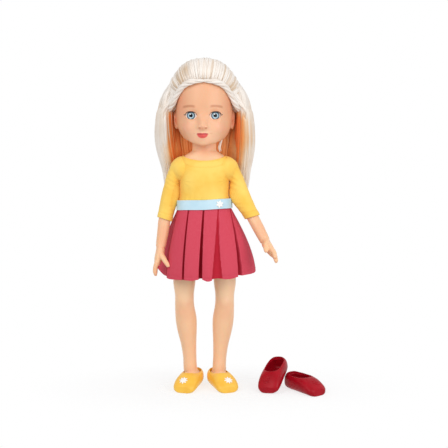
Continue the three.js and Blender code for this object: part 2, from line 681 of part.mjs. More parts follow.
// Skirt: the hem seen from above, from the middle of the front round by the left side, as [x, y, z].
// The points lie by turns in a pleat's groove and in the middle of the panel after it.
const hemPoints = [
  [-4, -33, 114], [5, -34.5, 112.5], [12, -33.5, 114.5], [24, -32, 114.5], [35.5, -27, 116.5],
  [46, -16, 117.5], [51.5, 2, 117], [49.5, 15, 116.5], [41, 29, 116], [27, 36, 115.5],
  [2, 38.5, 115], [-16, 39.5, 115], [-33, 35.5, 115], [-45.5, 28, 115.5], [-48, 15, 118],
  [-42, 5, 114], [-38, -7, 113.5], [-34.5, -20, 113], [-20.5, -30.5, 113], [-12.5, -32.5, 113],
];
const waistAngles = [-90.6, -58.8, -19.2, 16, 53, 90, 127, 164, 199, 236.5, 269.4];
const grooveHalf = [0.05, 0.16, 0.06, 0.07, 0.07, 0.07, 0.07, 0.08, 0.05, 0.035];
const pleatCount = grooveHalf.length;
const hemCurve = new THREE.CatmullRomCurve3(hemPoints.map((point) => new THREE.Vector3(...point)), true);

// A point of the skirt: u counts pleats round from the middle of the front, v runs from waist to hem.
function skirtPoint(u, v, inset) {
  const first = Math.min(Math.floor(u), pleatCount - 1);
  const angle = THREE.MathUtils.degToRad(
    THREE.MathUtils.lerp(waistAngles[first], waistAngles[first + 1], u - first));
  const [, wide, front, back] = torsoAt(waistZ - touch);
  const ease = touch * 1.5 + clothThick;
  const [across, deep] = [Math.cos(angle), Math.sin(angle)];
  const bulge = (Math.abs(across) ** torsoSquare + Math.abs(deep) ** torsoSquare) ** (-1 / torsoSquare);
  const waist = new THREE.Vector3((wide + ease) * across * bulge,
    (front + back) / 2 + ((back - front) / 2 + ease) * deep * bulge, waistZ - touch / 2);
  const hem = hemCurve.getPoint((u / pleatCount) % 1);
  hem.z += hemFront - hemPoints[0][2];
  const flare = 1 - (1 - v) ** 2;
  const point = new THREE.Vector3(THREE.MathUtils.lerp(waist.x, hem.x, flare),
    THREE.MathUtils.lerp(waist.y, hem.y, flare), THREE.MathUtils.lerp(waist.z, hem.z, v));
  const groove = Math.round(u) % pleatCount;
  const spread = THREE.MathUtils.lerp(0.04, grooveHalf[groove], v);
  const share = Math.max(0, 1 - Math.abs(u - Math.round(u)) / spread);
  const depth = pleatHem * v * Math.min(share * 1.6, 1);
  const inward = new THREE.Vector3(-point.x, -point.y + (front + back) / 2, 0).normalize();
  return point.addScaledVector(inward, depth + inset);
}

function makeSkirt() {
  const halfPleats = pleatCount / 2;
  const samples = [0, 0.35, 1];
  const halves = [['left', 0], ['right', halfPleats]];
  halves.forEach(([name, start]) => {
    const columns = [];
    for (let pleat = 0; pleat < halfPleats; pleat += 1) {
      const from = grooveHalf[(start + pleat) % pleatCount];
      const to = grooveHalf[(start + pleat + 1) % pleatCount];
      columns.push(...samples.map((k) => start + pleat + k * from), start + pleat + 0.35,
        start + pleat + 0.65, ...samples.slice(1, 3).reverse().map((k) => start + pleat + 1 - k * to));
    }
    columns.push(start + halfPleats);
    const seam = 0.012;
    columns[0] += seam;
    columns[columns.length - 1] -= seam;
    const count = columns.length - 1;
    const cloth = sheet(count, 6,
      (u, v, w) => skirtPoint(columns[Math.round(u * count)], v, w * clothThick));
    piece(`skirt_${name}`, solid(cloth), 'redTwill');
  });
}

makeSkirt();

// Legs as [x, y, z, half width, half depth] from the hip to the ankle.
const legStations = [
  [18.2, 1, 158, 9.2, 10],
  [18.6, 0.6, 146, 10.6, 13.2],
  [19.6, 0, 128, 11.4, 12.6],
  [20.4, -0.5, 107, 11.1, 11],
  [20.3, -1, 94, 9.5, 9.8],
  [20.1, -1.5, 82.5, 9.7, 9.8],
  [18.8, 1, 69, 10.6, 10.6],
  [17.8, 1.8, 57.5, 9.8, 10],
  [16.3, 2, 43, 7.8, 8.2],
  [15.3, 1.8, 30, 6.8, 7.2],
  [14.8, 1.2, 20, 6.8, 7.6],
];

// Foot as [distance ahead of the ankle, half width, underside, top].
const footStations = [
  [-11.6, 3.2, 4.4, 9.5],
  [-9.6, 6.2, 2.6, 14],
  [-3, 8, 2.2, 15.6],
  [6, 8.8, 2.2, 15],
  [14, 9.6, 2.2, 12.8],
  [21, 9.8, 2.2, 10.6],
  [26.2, 8.8, 2.2, 8.6],
  [28.8, 5.6, 2.8, 6.8],
];

function footForm(grow, sides, rows, drop = 0) {
  return column(sides, rows, (t) => {
    const [ahead, wide, under, over] = through(footStations, t);
    const push = grow * THREE.MathUtils.clamp(t * 8 - 4, -1, 1);
    return {
      centre: new THREE.Vector3(0, -ahead - push, (under + over - drop) / 2),
      wide: new THREE.Vector3(wide + grow, 0, 0),
      deep: new THREE.Vector3(0, 0, (over - under + drop) / 2 + grow),
    };
  }, 2.5);
}

function legPlug() {
  const inside = crotchHalf - torsoWall - touch - plugThick;
  return turned([
    [inside, 0], [inside, plugFlange], [inside + plugThick, plugFlange], [inside + plugThick, plugRadius],
    [crotchHalf + 4, plugRadius], [crotchHalf + 4, 0],
  ], 'x', [0, hipY, hipZ], 14);
}

function hipHead() {
  const inner = crotchHalf + turnGap * 2;
  return turned([
    [inner, 0], [inner, hipDisc - 1], [inner + 1.6, hipDisc], [18, hipDisc], [23.4, hipDisc * 0.88],
    [26.6, hipDisc * 0.62], [28.2, hipDisc * 0.3], [28.6, 0],
  ], 'x', [0, hipY, hipZ], 18);
}

function toFoot(name, side) {
  return new THREE.Matrix4().makeTranslation(side * ankleX[name], ankleY, 0)
    .multiply(new THREE.Matrix4().makeRotationZ(THREE.MathUtils.degToRad(side * toeOut[name])));
}

// The leg's last ring, inside the foot.
function heelStation(name, side) {
  return [side * (ankleX[name] + 0.6), ankleY, 9, 6.2, 7.4];
}

function makeLeg(name, side) {
  const stations = legStations.map(([x, y, z, wide, deep]) => [side * x, y, z, wide, deep]);
  const foot = toFoot(name, side);
  const between = solid(block([-90, -90, 0], [90, 90, hipZ + 3]));
  let leg = solid(limb([...stations, heelStation(name, side)], 12, 14)).intersect(between);
  const inner = solid(block([crotchHalf + turnGap * 2, -90, 0], [90, 90, 200]));
  const head = solid(hipHead());
  leg = leg.intersect(side > 0 ? inner : inner.mirror([1, 0, 0]));
  leg = leg.add(side > 0 ? head : head.mirror([1, 0, 0]));
  const plug = solid(legPlug());
  leg = leg.add(side > 0 ? plug : plug.mirror([1, 0, 0]));
  piece(`leg_${name}`, leg.add(solid(footForm(0, 10, 7)).transform(foot.elements)), 'vinylSkin');
}

// A ballet flat round the foot's form, open on top, with a flat sole.
const shoeMouth = { ahead: 0.6, half: 11.4, halfWidth: 7.8 };

function shoeForm() {
  const outside = solid(footForm(touch + shoeWall, 12, 8, soleThick / 2));
  const foot = solid(footForm(touch, 10, 7));
  const ground = solid(block([-60, -60, 0], [60, 60, 60]));
  const mouth = solid(column(12, 1, (t) => ({
    centre: new THREE.Vector3(0, -shoeMouth.ahead, THREE.MathUtils.lerp(soleThick + 5, 40, t)),
    wide: new THREE.Vector3(shoeMouth.halfWidth, 0, 0),
    deep: new THREE.Vector3(0, shoeMouth.half, 0),
  })));
  return outside.intersect(ground).subtract(foot).subtract(mouth);
}

const daisySeat = { ahead: 19.5, aside: 4.2, tilt: 22, lean: 14, clear: 0.5 };

function daisyOnShoe(side) {
  const over = ringWhere(footStations, daisySeat.ahead)[3];
  const z = over + touch * 2 + shoeWall + daisySeat.clear;
  return placed(flower(8, daisyRadius, daisyThick), [side * daisySeat.aside, -daisySeat.ahead, z],
    daisySeat.tilt, 0, side * daisySeat.lean);
}

const shoe = shoeForm();

function makeShoes() {
  sidesOfDoll.forEach(([name, side]) => {
    const foot = toFoot(name, side).elements;
    makeLeg(name, side);
    const ankle = legStations.slice(-2).map(([x, y, z, wide, deep]) => [side * x, y, z, wide, deep]);
    const room = solid(limb([...ankle, heelStation(name, side)], 20, 8, touch));
    piece(`shoe_${name}`, shoe.transform(foot).subtract(room), 'yellowVinyl');
    piece(`shoe_flower_${name}`, daisyOnShoe(side).transform(foot), 'whiteFelt');
  });
}

makeShoes();

// The spare pair: one flat on its sole, the other leaning its heel on it, as [x, y, turn, pitch, roll].
const spares = {
  left: { at: [92.5, -14], turn: 38, pitch: 0, roll: 0, lift: 0 },
  right: { at: [72, -4], turn: -13, pitch: 20, roll: -6, lift: 10.9 },
};

function makeSpares() {
  sidesOfDoll.forEach(([name, side]) => {
    const { at, turn, pitch, roll, lift } = spares[name];
    const sink = touch + daisySeat.clear + daisyThick / 2;
    const relief = daisyOnShoe(side).translate([0, 0, -sink]);
    const whole = shoe.add(relief);
    const matrix = new THREE.Matrix4().makeTranslation(at[0], at[1], lift)
      .multiply(new THREE.Matrix4().makeRotationZ(THREE.MathUtils.degToRad(turn)))
      .multiply(new THREE.Matrix4().makeRotationX(THREE.MathUtils.degToRad(pitch)))
      .multiply(new THREE.Matrix4().makeRotationY(THREE.MathUtils.degToRad(roll)));
    piece(`spare_shoe_${name}`, whole.transform(matrix.elements), 'crimsonVinyl');
  });
}

makeSpares();

// The origin is the middle of the base of everything's box.
const box = new THREE.Box3().setFromObject(doll);
const middle = box.getCenter(new THREE.Vector3());
doll.position.set(-middle.x, -middle.y, 0);
doll.updateMatrixWorld(true);

export default doll;
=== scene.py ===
import json
import math
import random

import bpy
from mathutils import Matrix, Vector, noise


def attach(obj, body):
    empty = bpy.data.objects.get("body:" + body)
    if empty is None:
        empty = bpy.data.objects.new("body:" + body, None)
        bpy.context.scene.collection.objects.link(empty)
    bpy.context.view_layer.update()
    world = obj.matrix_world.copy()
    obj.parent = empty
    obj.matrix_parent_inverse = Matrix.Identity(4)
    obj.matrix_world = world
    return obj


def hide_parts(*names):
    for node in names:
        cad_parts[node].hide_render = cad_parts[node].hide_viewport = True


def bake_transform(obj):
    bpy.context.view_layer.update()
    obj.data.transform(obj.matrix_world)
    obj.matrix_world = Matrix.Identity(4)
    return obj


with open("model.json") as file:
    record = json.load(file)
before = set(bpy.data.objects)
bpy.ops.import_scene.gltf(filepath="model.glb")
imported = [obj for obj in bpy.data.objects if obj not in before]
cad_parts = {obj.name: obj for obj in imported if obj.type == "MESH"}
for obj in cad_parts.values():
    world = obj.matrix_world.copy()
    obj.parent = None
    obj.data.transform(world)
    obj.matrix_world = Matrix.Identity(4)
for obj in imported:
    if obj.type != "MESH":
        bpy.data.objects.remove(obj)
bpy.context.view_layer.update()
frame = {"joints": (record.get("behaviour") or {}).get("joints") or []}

# Everything is measured in millimetres from the floor under the middle of the doll, which faces -Y.
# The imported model's origin is elsewhere; the neck's joint, a little behind the doll's middle, tells where.
neckTop, jointBehind = 251.4, 1.5
neckJoint = next(joint for joint in frame["joints"] if joint["name"] == "head_turn")["pos_m"]
dollOrigin = Vector((neckJoint[0], neckJoint[1] - jointBehind / 1000, 0))
sidesOfDoll = (("right", -1), ("left", 1))


def spot(x, y, z):
    return dollOrigin + Vector((x, y, z)) / 1000


def inMm(point):
    return (point - dollOrigin) * 1000


def clamp(value):
    return min(1, max(0, value))


# Camera: fitted to the photograph, 850 mm in front of the doll and looking a little down
cameraFacts = {"place": (19.6, -850, 240), "pitchDown": 5.02, "focalPixels": 850.5, "framePixels": 448}

bpy.ops.object.camera_add(location=spot(*cameraFacts["place"]),
                          rotation=(math.radians(90 - cameraFacts["pitchDown"]), 0, 0))
camera = bpy.context.object
camera.data.sensor_width = 36
camera.data.lens = 36 * cameraFacts["focalPixels"] / cameraFacts["framePixels"]
bpy.context.scene.camera = camera
bpy.context.scene.view_settings.view_transform = "Standard"
print("camera placed")


def hexColor(code):
    channels = [int(code[i:i + 2], 16) / 255 for i in (1, 3, 5)]
    linear = [c / 12.92 if c <= 0.04045 else ((c + 0.055) / 1.055) ** 2.4 for c in channels]
    return (*linear, 1.0)


def setSockets(tree, node, sockets):
    for socket, value in sockets.items():
        if isinstance(value, bpy.types.NodeSocket):
            tree.links.new(value, node.inputs[socket])
        else:
            node.inputs[socket].default_value = value
    return node


def addNode(tree, kind, settings=None, inputs=None, stops=()):
    made = tree.nodes.new("ShaderNode" + kind)
    for name, value in (settings or {}).items():
        setattr(made, name, value)
    for i, (place, code) in enumerate(stops):
        # a colour ramp starts with two stops
        stop = made.color_ramp.elements[i] if i < 2 else made.color_ramp.elements.new(place)
        stop.position = place
        stop.color = hexColor(code)
    return setSockets(tree, made, inputs or {})


def newMaterial(name, finish):
    material = bpy.data.materials.new(name)
    material.use_nodes = True
    tree = material.node_tree
    shader = setSockets(tree, tree.nodes["Principled BSDF"], finish)
    return material, tree, shader


smoothly, fadingOut = {"interpolation_type": "SMOOTHSTEP"}, {"To Min": 1.0, "To Max": 0.0}


def farFrom(tree, coords, centre, scale):
    # the offset from a place of the doll, each axis multiplied by its scale, and that offset's length
    offset = addNode(tree, "VectorMath", {"operation": "SUBTRACT"}, {0: coords, 1: spot(*centre)})
    offset = addNode(tree, "VectorMath", {"operation": "MULTIPLY"}, {0: offset.outputs[0], 1: scale})
    far = addNode(tree, "VectorMath", {"operation": "LENGTH"}, {0: offset.outputs[0]})
    return offset.outputs[0], far.outputs["Value"]


def blotMask(tree, coords, centre, radii, inner):
    # 1 inside an ellipsoid round a place of the doll, fading to 0 at its surface
    offset, far = farFrom(tree, coords, centre, [1000 / radius for radius in radii])
    fade = addNode(tree, "MapRange", smoothly, {"Value": far, "From Min": inner, "From Max": 1.0,
                                                **fadingOut})
    return fade.outputs[0]


def paintOver(tree, base, mask, code, strength=1.0):
    weight = mask
    if strength < 1:
        weight = addNode(tree, "Math", {"operation": "MULTIPLY"}, {0: mask, 1: strength}).outputs[0]
    over = addNode(tree, "Mix", {"data_type": "RGBA"}, {"Factor": weight, "A": base, "B": hexColor(code)})
    return over.outputs["Result"]


def blotted(tree, coords, base, code, strength, centre, radii, inner):
    return paintOver(tree, base, blotMask(tree, coords, centre, radii, inner), code, strength)


def arcMask(tree, coords, centre, radius, halfWidth, fromX, toX):
    # a soft painted line along a circle in the plane of the face, between two distances from the middle
    flat, far = farFrom(tree, coords, centre, (1000, 0, 1000))
    across = addNode(tree, "SeparateXYZ", inputs={"Vector": flat}).outputs["X"]
    middle, reach = (fromX + toX) / 2 - centre[0], abs(toX - fromX) / 2
    fades = []
    for value, target, inner, outer in ((far, radius, halfWidth * 0.4, halfWidth * 1.5),
                                        (across, middle, reach * 0.6, reach)):
        off = addNode(tree, "Math", {"operation": "SUBTRACT"}, {0: value, 1: target})
        off = addNode(tree, "Math", {"operation": "ABSOLUTE"}, {0: off.outputs[0]})
        limits = {"From Min": inner, "From Max": outer, **fadingOut}
        fades.append(addNode(tree, "MapRange", smoothly, {"Value": off.outputs[0], **limits}).outputs[0])
    return addNode(tree, "Math", {"operation": "MULTIPLY"}, {0: fades[0], 1: fades[1]}).outputs[0]


def selectOnly(*pieces):
    if bpy.context.object and bpy.context.object.mode != "OBJECT":
        bpy.ops.object.mode_set(mode="OBJECT")
    bpy.ops.object.select_all(action="DESELECT")
    for piece in pieces:
        piece.select_set(True)
    bpy.context.view_layer.objects.active = pieces[0]


def applyModifiers(piece):
    selectOnly(piece)
    for modifier in list(piece.modifiers):
        bpy.ops.object.modifier_apply(modifier=modifier.name)


def turnOutwards(piece, mergeMm=0.0):
    selectOnly(piece)
    bpy.ops.object.mode_set(mode="EDIT")
    bpy.ops.mesh.select_all(action="SELECT")
    if mergeMm:
        bpy.ops.mesh.remove_doubles(threshold=mergeMm / 1000)
    bpy.ops.mesh.normals_make_consistent(inside=False)
    bpy.ops.object.mode_set(mode="OBJECT")


def newForm(adder, name, **settings):
    bpy.ops.object.select_all(action="DESELECT")
    adder(**settings)
    bpy.ops.object.transform_apply(location=True, rotation=True, scale=True)
    piece = bpy.context.object
    piece.name = name
    return piece


def meshForm(name, points, faces):
    mesh = bpy.data.meshes.new(name)
    mesh.from_pydata([tuple(point) for point in points], [], faces)
    piece = bpy.data.objects.new(name, mesh)
    bpy.context.collection.objects.link(piece)
    return piece


def storeValues(piece, label, values):
    piece.data.attributes.new(label, "FLOAT", "POINT").data.foreach_set("value", values)


def addModifier(piece, kind, **settings):
    modifier = piece.modifiers.new(kind.lower(), kind)
    for name, value in settings.items():
        setattr(modifier, name, value)


def thickened(piece, thickness, edgeWidth=0.0):
    addModifier(piece, "SOLIDIFY", thickness=thickness, offset=-1.0)
    if edgeWidth:
        addModifier(piece, "BEVEL", width=edgeWidth, segments=2, limit_method="ANGLE")
    applyModifiers(piece)


def cutBy(piece, *cutters):
    for cutter in cutters:
        addModifier(piece, "BOOLEAN", operation="DIFFERENCE", object=cutter, solver="EXACT")
        applyModifiers(piece)
        bpy.data.objects.remove(cutter)


def joined(name, pieces):
    selectOnly(*pieces)
    if len(pieces) > 1:
        bpy.ops.object.join()
    whole = bpy.context.object
    whole.name = name
    return whole


def fused(name, pieces, voxelMm, softening):
    # separately moulded forms melted into one skin, as a vinyl casting is
    whole = joined(name, pieces)
    addModifier(whole, "REMESH", mode="VOXEL", voxel_size=voxelMm / 1000)
    addModifier(whole, "SMOOTH", factor=0.5, iterations=softening)
    applyModifiers(whole)
    return whole


def finished(piece, material, body, replaces=(), angle=180):
    # body is one body's name, to which the piece is attached, or two bodies' names with the two ends of a
    # blend between them; for these no blend is made and the piece stays where it is
    selectOnly(piece)
    if angle < 180:
        bpy.ops.object.shade_smooth_by_angle(angle=math.radians(angle))
    else:
        bpy.ops.object.shade_smooth()
    piece.data.materials.clear()
    piece.data.materials.append(material)
    if isinstance(body, str):
        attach(piece, body)
    else:
        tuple(body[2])
        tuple(body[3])
        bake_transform(piece)
    if replaces:
        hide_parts(*replaces)


def curveAt(before, a, b, after, s):
    # the smooth curve from a to b whose neighbours are before and after
    start, end = (b - before) / 2, (after - a) / 2
    return (a * (2 * s ** 3 - 3 * s ** 2 + 1) + start * (s ** 3 - 2 * s ** 2 + s)
            + b * (3 * s ** 2 - 2 * s ** 3) + end * (s ** 3 - s ** 2))


def between(stations, share):
    # the values of a list of stations at a share of the way through it, on a smooth curve
    last = len(stations) - 1
    at = min(max(share * last, 0), last)
    i = min(int(at), last - 1)
    rows = stations[max(i - 1, 0)], stations[i], stations[i + 1], stations[min(i + 2, last)]
    return [curveAt(*values, at - i) for values in zip(*rows)]


def runOf(path, share, step):
    ahead = Vector(between(path, min(share + step, 1))[:3])
    behind = Vector(between(path, max(share - step, 0))[:3])
    return (ahead - behind).normalized()


def mouldedBall(name, segments, rings, sectionAt, square=2.0):
    # a ball whose rings are drawn onto the piece's sections, one after the other from end to end
    piece = newForm(bpy.ops.mesh.primitive_uv_sphere_add, name, segments=segments, ring_count=rings, radius=1)
    sections = [sectionAt(row / rings) for row in range(rings + 1)]
    for vertex in piece.data.vertices:
        x, y, z = vertex.co
        row = round(math.acos(max(-1.0, min(1.0, z))) / math.pi * rings)
        centre, wide, deep = sections[row]
        flat = math.hypot(x, y)
        if flat < 1e-5:
            vertex.co = spot(*centre)
            continue
        x, y = x / flat, y / flat
        bulge = (abs(x) ** square + abs(y) ** square) ** (-1 / square)
        vertex.co = spot(*(centre + wide * x * bulge + deep * y * bulge))
    turnOutwards(piece)
    return piece


def limbSections(stations, grow=0.0):
    # sections square to the run of a limb given as [x, y, z, half width, half depth]
    step = 1 / (len(stations) * 8)

    def sectionAt(share):
        x, y, z, wide, deep = between(stations, share)
        run = runOf(stations, share, step)
        side = Vector((0, 1, 0)).cross(run).normalized()
        return Vector((x, y, z)), side * (wide + grow), run.cross(side) * (deep + grow)

    return sectionAt


def uprightSections(stations):
    # sections of an upright form given as [z, half width, front y, back y]
    def sectionAt(share):
        z, wide, front, back = between(stations, share)
        return Vector((0, (front + back) / 2, z)), Vector((wide, 0, 0)), Vector((0, (back - front) / 2, 0))

    return sectionAt


def clothGrid(name, columns, rows, place, closed=False):
    # a sheet of squares laid onto place(u, v); its UV map keeps u and v for the weave
    piece = newForm(bpy.ops.mesh.primitive_grid_add, name, size=2, x_subdivisions=columns,
                    y_subdivisions=rows)
    for vertex in piece.data.vertices:
        vertex.co = spot(*place((vertex.co.x + 1) / 2, (vertex.co.y + 1) / 2))
    turnOutwards(piece, mergeMm=0.01 if closed else 0.0)
    return piece


def flatSize(place, rimSteps, rimAt):
    # a sheet's width round the line v = rimAt and the length of the longest line across it, in metres
    rim = [place(k / rimSteps, rimAt) for k in range(rimSteps + 1)]
    lines = [rim] + [[place(column / 20, k / 40) for k in range(41)] for column in range(21)]
    lengths = [sum((b - a).length for a, b in zip(line, line[1:])) / 1000 for line in lines]
    return lengths[0], max(lengths[1:])


def areaOf(piece):
    return sum(face.area for face in piece.data.polygons)


def pulledTo(piece, pulls):
    # points near a place follow a pull that fades to nothing at its reach, as under a modelling tool
    handles = [(spot(*at), Vector(by) / 1000, reach / 1000) for at, by, reach in pulls]
    for vertex in piece.data.vertices:
        for at, by, reach in handles:
            near = 1 - (vertex.co - at).length / reach
            if near > 0:
                vertex.co += by * (near * near * (3 - 2 * near))


def surfaceAt(piece, x, z):
    # how far forward the piece comes at a place seen from the front, in the doll's millimetres
    hit, where, normal, index = piece.ray_cast(spot(x, -90, z), Vector((0, 1, 0)))
    return inMm(where).y, normal

# Vinyl of the head, arms, legs and body
fleshFinish = {"Subsurface Weight": 0.18, "Subsurface Radius": (0.004, 0.0015, 0.0008),
               "Subsurface Scale": 1.0}

# soft matt flesh with warmth showing through it
vinylSkin, tree, shader = newMaterial("rotocastSkinVinyl", finish={"Roughness": 0.46, **fleshFinish})
coords = addNode(tree, "TexCoord").outputs["Object"]
skinTintLightAndShade = hexColor("#F6C49A")
for x in (-20, 20):
    # painted light: paler above the knee, lifting the shade under the skirt
    skinTintLightAndShade = blotted(tree, coords, skinTintLightAndShade, "#FFDDB6", 0.9, (x, 0, 112), (24, 30, 46), 0.0)
# warmer flesh at the knees, fingertips and forearms, and painted shade on the neck under the chin
for centre, radii, strength in (((20, -9, 80), (11, 12, 15), 0.25), ((-20, -9, 80), (11, 12, 15), 0.25),
                                ((-47, -10, 120), (9, 12, 14), 0.5), ((68, -30, 134), (13, 14, 16), 0.5),
                                ((-41, -6, 152), (13, 16, 30), 0.35), ((55, -20, 156), (14, 18, 26), 0.35),
                                ((0, -12, 242), (20, 18, 12), 0.5)):
    skinTintLightAndShade = blotted(tree, coords, skinTintLightAndShade, "#E59B76", strength, centre, radii, 0.2)
grain = addNode(tree, "TexNoise", inputs={"Vector": coords, "Scale": 260.0, "Detail": 3.0})
mottle = addNode(tree, "Mix", {"data_type": "RGBA", "blend_type": "SOFT_LIGHT"},
                 {"Factor": 0.06, "A": skinTintLightAndShade, "B": grain.outputs["Color"]})
setSockets(tree, shader, {"Base Color": mottle.outputs["Result"]})
pores = addNode(tree, "TexNoise", inputs={"Vector": coords, "Scale": 2600.0, "Detail": 2.0})
bump = addNode(tree, "Bump", inputs={"Height": pores.outputs["Fac"], "Distance": 0.00005, "Strength": 0.3})
setSockets(tree, shader, {"Normal": bump.outputs[0]})

# flesh with airbrushed cheeks, brows and lips, with painted shade and painted light
faceVinyl, tree, shader = newMaterial("rotocastVinylFacePaintLightAndShade",
                                      finish={"Roughness": 0.44, **fleshFinish})
coords = addNode(tree, "TexCoord").outputs["Object"]
paint = hexColor("#E8AF88")
# painted shade at the temples and ears under the hair, painted light over the lower face, blush on the cheeks
# and nose tip, painted shade under the chin
for centre, radii, code, strength in (
        ((-24, -14, 284), (13, 20, 20), "#E39872", 0.7), ((25, -13, 284), (10, 20, 20), "#E39872", 0.6),
        ((0, -20, 256), (27, 24, 15), "#F8C8A4", 0.85),
        ((-17, -22, 261), (9, 14, 8), "#F3A98C", 0.4), ((17, -22, 261), (9, 14, 8), "#F3A98C", 0.35),
        ((-29, 4, 269), (6, 9, 12), "#DF7F57", 0.75), ((29, 4, 269), (6, 9, 12), "#DF7F57", 0.75),
        ((-0.9, -30, 261), (5, 8, 3.5), "#F2AD8A", 0.6), ((0, -14, 243), (24, 16, 5), "#D98C66", 0.6)):
    paint = blotted(tree, coords, paint, code, strength, centre, radii, 0.15)
for side in (-1, 1):
    # lid, brow, and painted shade in the nostril and in the dimple at the mouth's corner
    paint = blotted(tree, coords, paint, "#E9A57C", 0.5, (side * 11.9 - 0.5, -24, 273), (8.4, 12, 6.2), 0.55)
    brow = arcMask(tree, coords, (side * 12.6 - 1.0, 0, 256), 25.5, 1.15, side * 6.2 - 1.0, side * 20.6 - 1.0)
    paint = paintOver(tree, paint, brow, "#BC744F", 0.68)
    paint = blotted(tree, coords, paint, "#C47A5A", 0.75, (side * 3.3 - 0.9, -32, 260.3), (2.4, 8, 1.0), 0.3)
    paint = blotted(tree, coords, paint, "#D78F6C", 0.5, (side * 8.2 - 1.1, -28, 255.3), (2.8, 8, 0.9), 0.2)
lower = blotMask(tree, coords, (-1.2, -28, 254.2), (5.8, 14, 4.0), 0.8)
height = addNode(tree, "SeparateXYZ", inputs={"Vector": coords}).outputs["Z"]
lipHeights = {"From Min": 0.2538, "From Max": 0.2546}
under = addNode(tree, "MapRange", smoothly, {"Value": height, **lipHeights, **fadingOut})
lower = addNode(tree, "Math", {"operation": "MULTIPLY"}, {0: lower, 1: under.outputs[0]})
paint = paintOver(tree, paint, lower.outputs[0], "#E24E4C", 0.95)
for side in (-1, 1):
    upper = (side * 2.2 - 1.2, -28, 254.6)
    paint = blotted(tree, coords, paint, "#D0403F", 0.95, upper, (4.1, 14, 1.15), 0.72)
parting = arcMask(tree, coords, (-1.2, 0, 283), 28.4, 0.36, -7.4, 5.0)
paint = paintOver(tree, paint, parting, "#A32C30", 0.85)
setSockets(tree, shader, {"Base Color": paint})
pores = addNode(tree, "TexNoise", inputs={"Vector": coords, "Scale": 2600.0, "Detail": 2.0})
bump = addNode(tree, "Bump", inputs={"Height": pores.outputs["Fac"], "Distance": 0.00005, "Strength": 0.3})
setSockets(tree, shader, {"Normal": bump.outputs[0]})

# Head: rings from the neck hole to the crown as [centre y, z above the neck, half width, half depth, tilt]
headRings = [[3, 0.4, 6, 6, 0], [1.5, -0.6, 14, 15, 4], [-0.5, -1.8, 18.5, 20, 12], [-0.3, 0, 20.8, 23, 15],
             [0.3, 4.8, 23.8, 25.2, 13], [1.2, 11.1, 26.2, 27.6, 10], [2.2, 19.1, 27.6, 29.2, 7],
             [2.7, 28.6, 28.2, 30, 4], [2.9, 37.6, 28.4, 30, 2], [3.1, 47.1, 27.8, 29, 0],
             [3.3, 56.1, 25.5, 26.3, 0], [3.5, 63.6, 20.8, 21.3, 0], [3.5, 68.6, 13.5, 13.5, 0],
             [3.5, 70.6, 5.7, 5.7, 0]]
eyes = {"apart": 23.6, "middle": -0.5, "z": 272.4, "openWide": 11.3, "openHigh": 7.3, "ballRadius": 13.0,
        "inset": 0.4, "capDepth": 4.2}
# pulls of the face as place, pull and reach; a place beside the middle stands for one on each side
facePulls = []
for (x, y, z), (aside, ahead, up), reach in (
        ((0, -25, 246.4), (0, -1.8, -2.2), 11), ((0, -27, 262.2), (0, -6.6, -0.6), 6.6),
        ((0, -27, 267.9), (0, -2.4, 0), 7), ((0, -26, 254), (0, -2.2, 0), 7.5),
        ((3.9, -29, 261.2), (0.5, -2.0, -0.3), 3.2), ((11.7, -27, 272.4), (0, 2.6, 0), 8.5),
        ((15, -22, 260.4), (1, -1.6, 0), 11), ((2.1, -29.5, 255.7), (0, -0.9, 0.1), 2.6),
        ((0, -29.5, 252.9), (0, -1.3, 0), 4.2), ((0, -29, 249.4), (0, 0.7, 0), 3.6),
        ((6.2, -27, 254.6), (0, 0.9, 0), 2.4), ((3.0, -31, 258.9), (0, 1.2, 0), 1.7),
        ((0, -27, 278.5), (0, 0.5, 0), 6)):
    # nose, mouth and chin stand a little to the doll's right
    shift = -0.9 if z < 269 and x < 8 else 0
    for side in (-1, 1) if x else (1,):
        facePulls.append(((side * x + shift, y, z), (side * aside, ahead, up), reach))
facePulls += [((-20, -12, 248), (1.9, 0.3, 0.9), 16), ((20, -12, 248), (-1.7, 0.3, 0.8), 15)]


def headSection(share):
    middle, above, wide, deep, tilt = between(headRings, share)
    lean = math.radians(tilt)
    return (Vector((0, middle, neckTop + above)), Vector((wide, 0, 0)),
            Vector((0, math.cos(lean), math.sin(lean))) * deep)


skull = mouldedBall("skull", 128, 110, headSection)
pulledTo(skull, facePulls)
parts = [skull]
for side in (-1, 1):
    earStations = [[side * 25.8, 6.2, 278, 1.8, 2.4], [side * 28.2, 6.4, 276, 2.5, 4.6],
                   [side * 29.0, 6.2, 270, 2.2, 5.2], [side * 28.0, 4.6, 264, 1.9, 3.6],
                   [side * 26.6, 3.4, 260.5, 1.8, 2.2]]
    ear = mouldedBall("ear", 28, 20, limbSections(earStations))
    pulledTo(ear, [((side * 31.5, 5.2, 269.5), (-side * 2.4, 0, 0), 4.6)])
    rim = newForm(bpy.ops.mesh.primitive_torus_add, "rim", major_segments=36, minor_segments=10,
                  major_radius=1, minor_radius=0.2)
    for vertex in rim.data.vertices:
        x, y, z = vertex.co
        vertex.co = spot(side * (29.4 + z * 4.5 + 0.10 * y * 4), 5.9 + x * 4.3 + 0.14 * y * 6,
                         269.9 + y * 6.6)
    turnOutwards(rim)
    parts += [ear, rim]
head = fused("head_vinyl", parts, 0.5, 3)
eyeY, lean = {}, {}
for side in (-1, 1):
    eyeY[side], lean[side] = surfaceAt(head, eyes["middle"] + side * eyes["apart"] / 2, eyes["z"])


def almond(side, angle, grow=0.0):
    # the outline of an eye's opening: rounder above, with its outer corner a little higher than its inner one
    across, up = math.cos(angle), math.sin(angle)
    wide, high = eyes["openWide"] / 2 + grow, eyes["openHigh"] / 2 + grow
    lift = 0.35 * across
    rounding = (1 - abs(across) ** 2.6) ** 0.62
    z = eyes["z"] + lift + math.copysign(high * rounding, up) * (1.04 if up > 0 else 0.96)
    return eyes["middle"] + side * (eyes["apart"] / 2 + wide * across), z


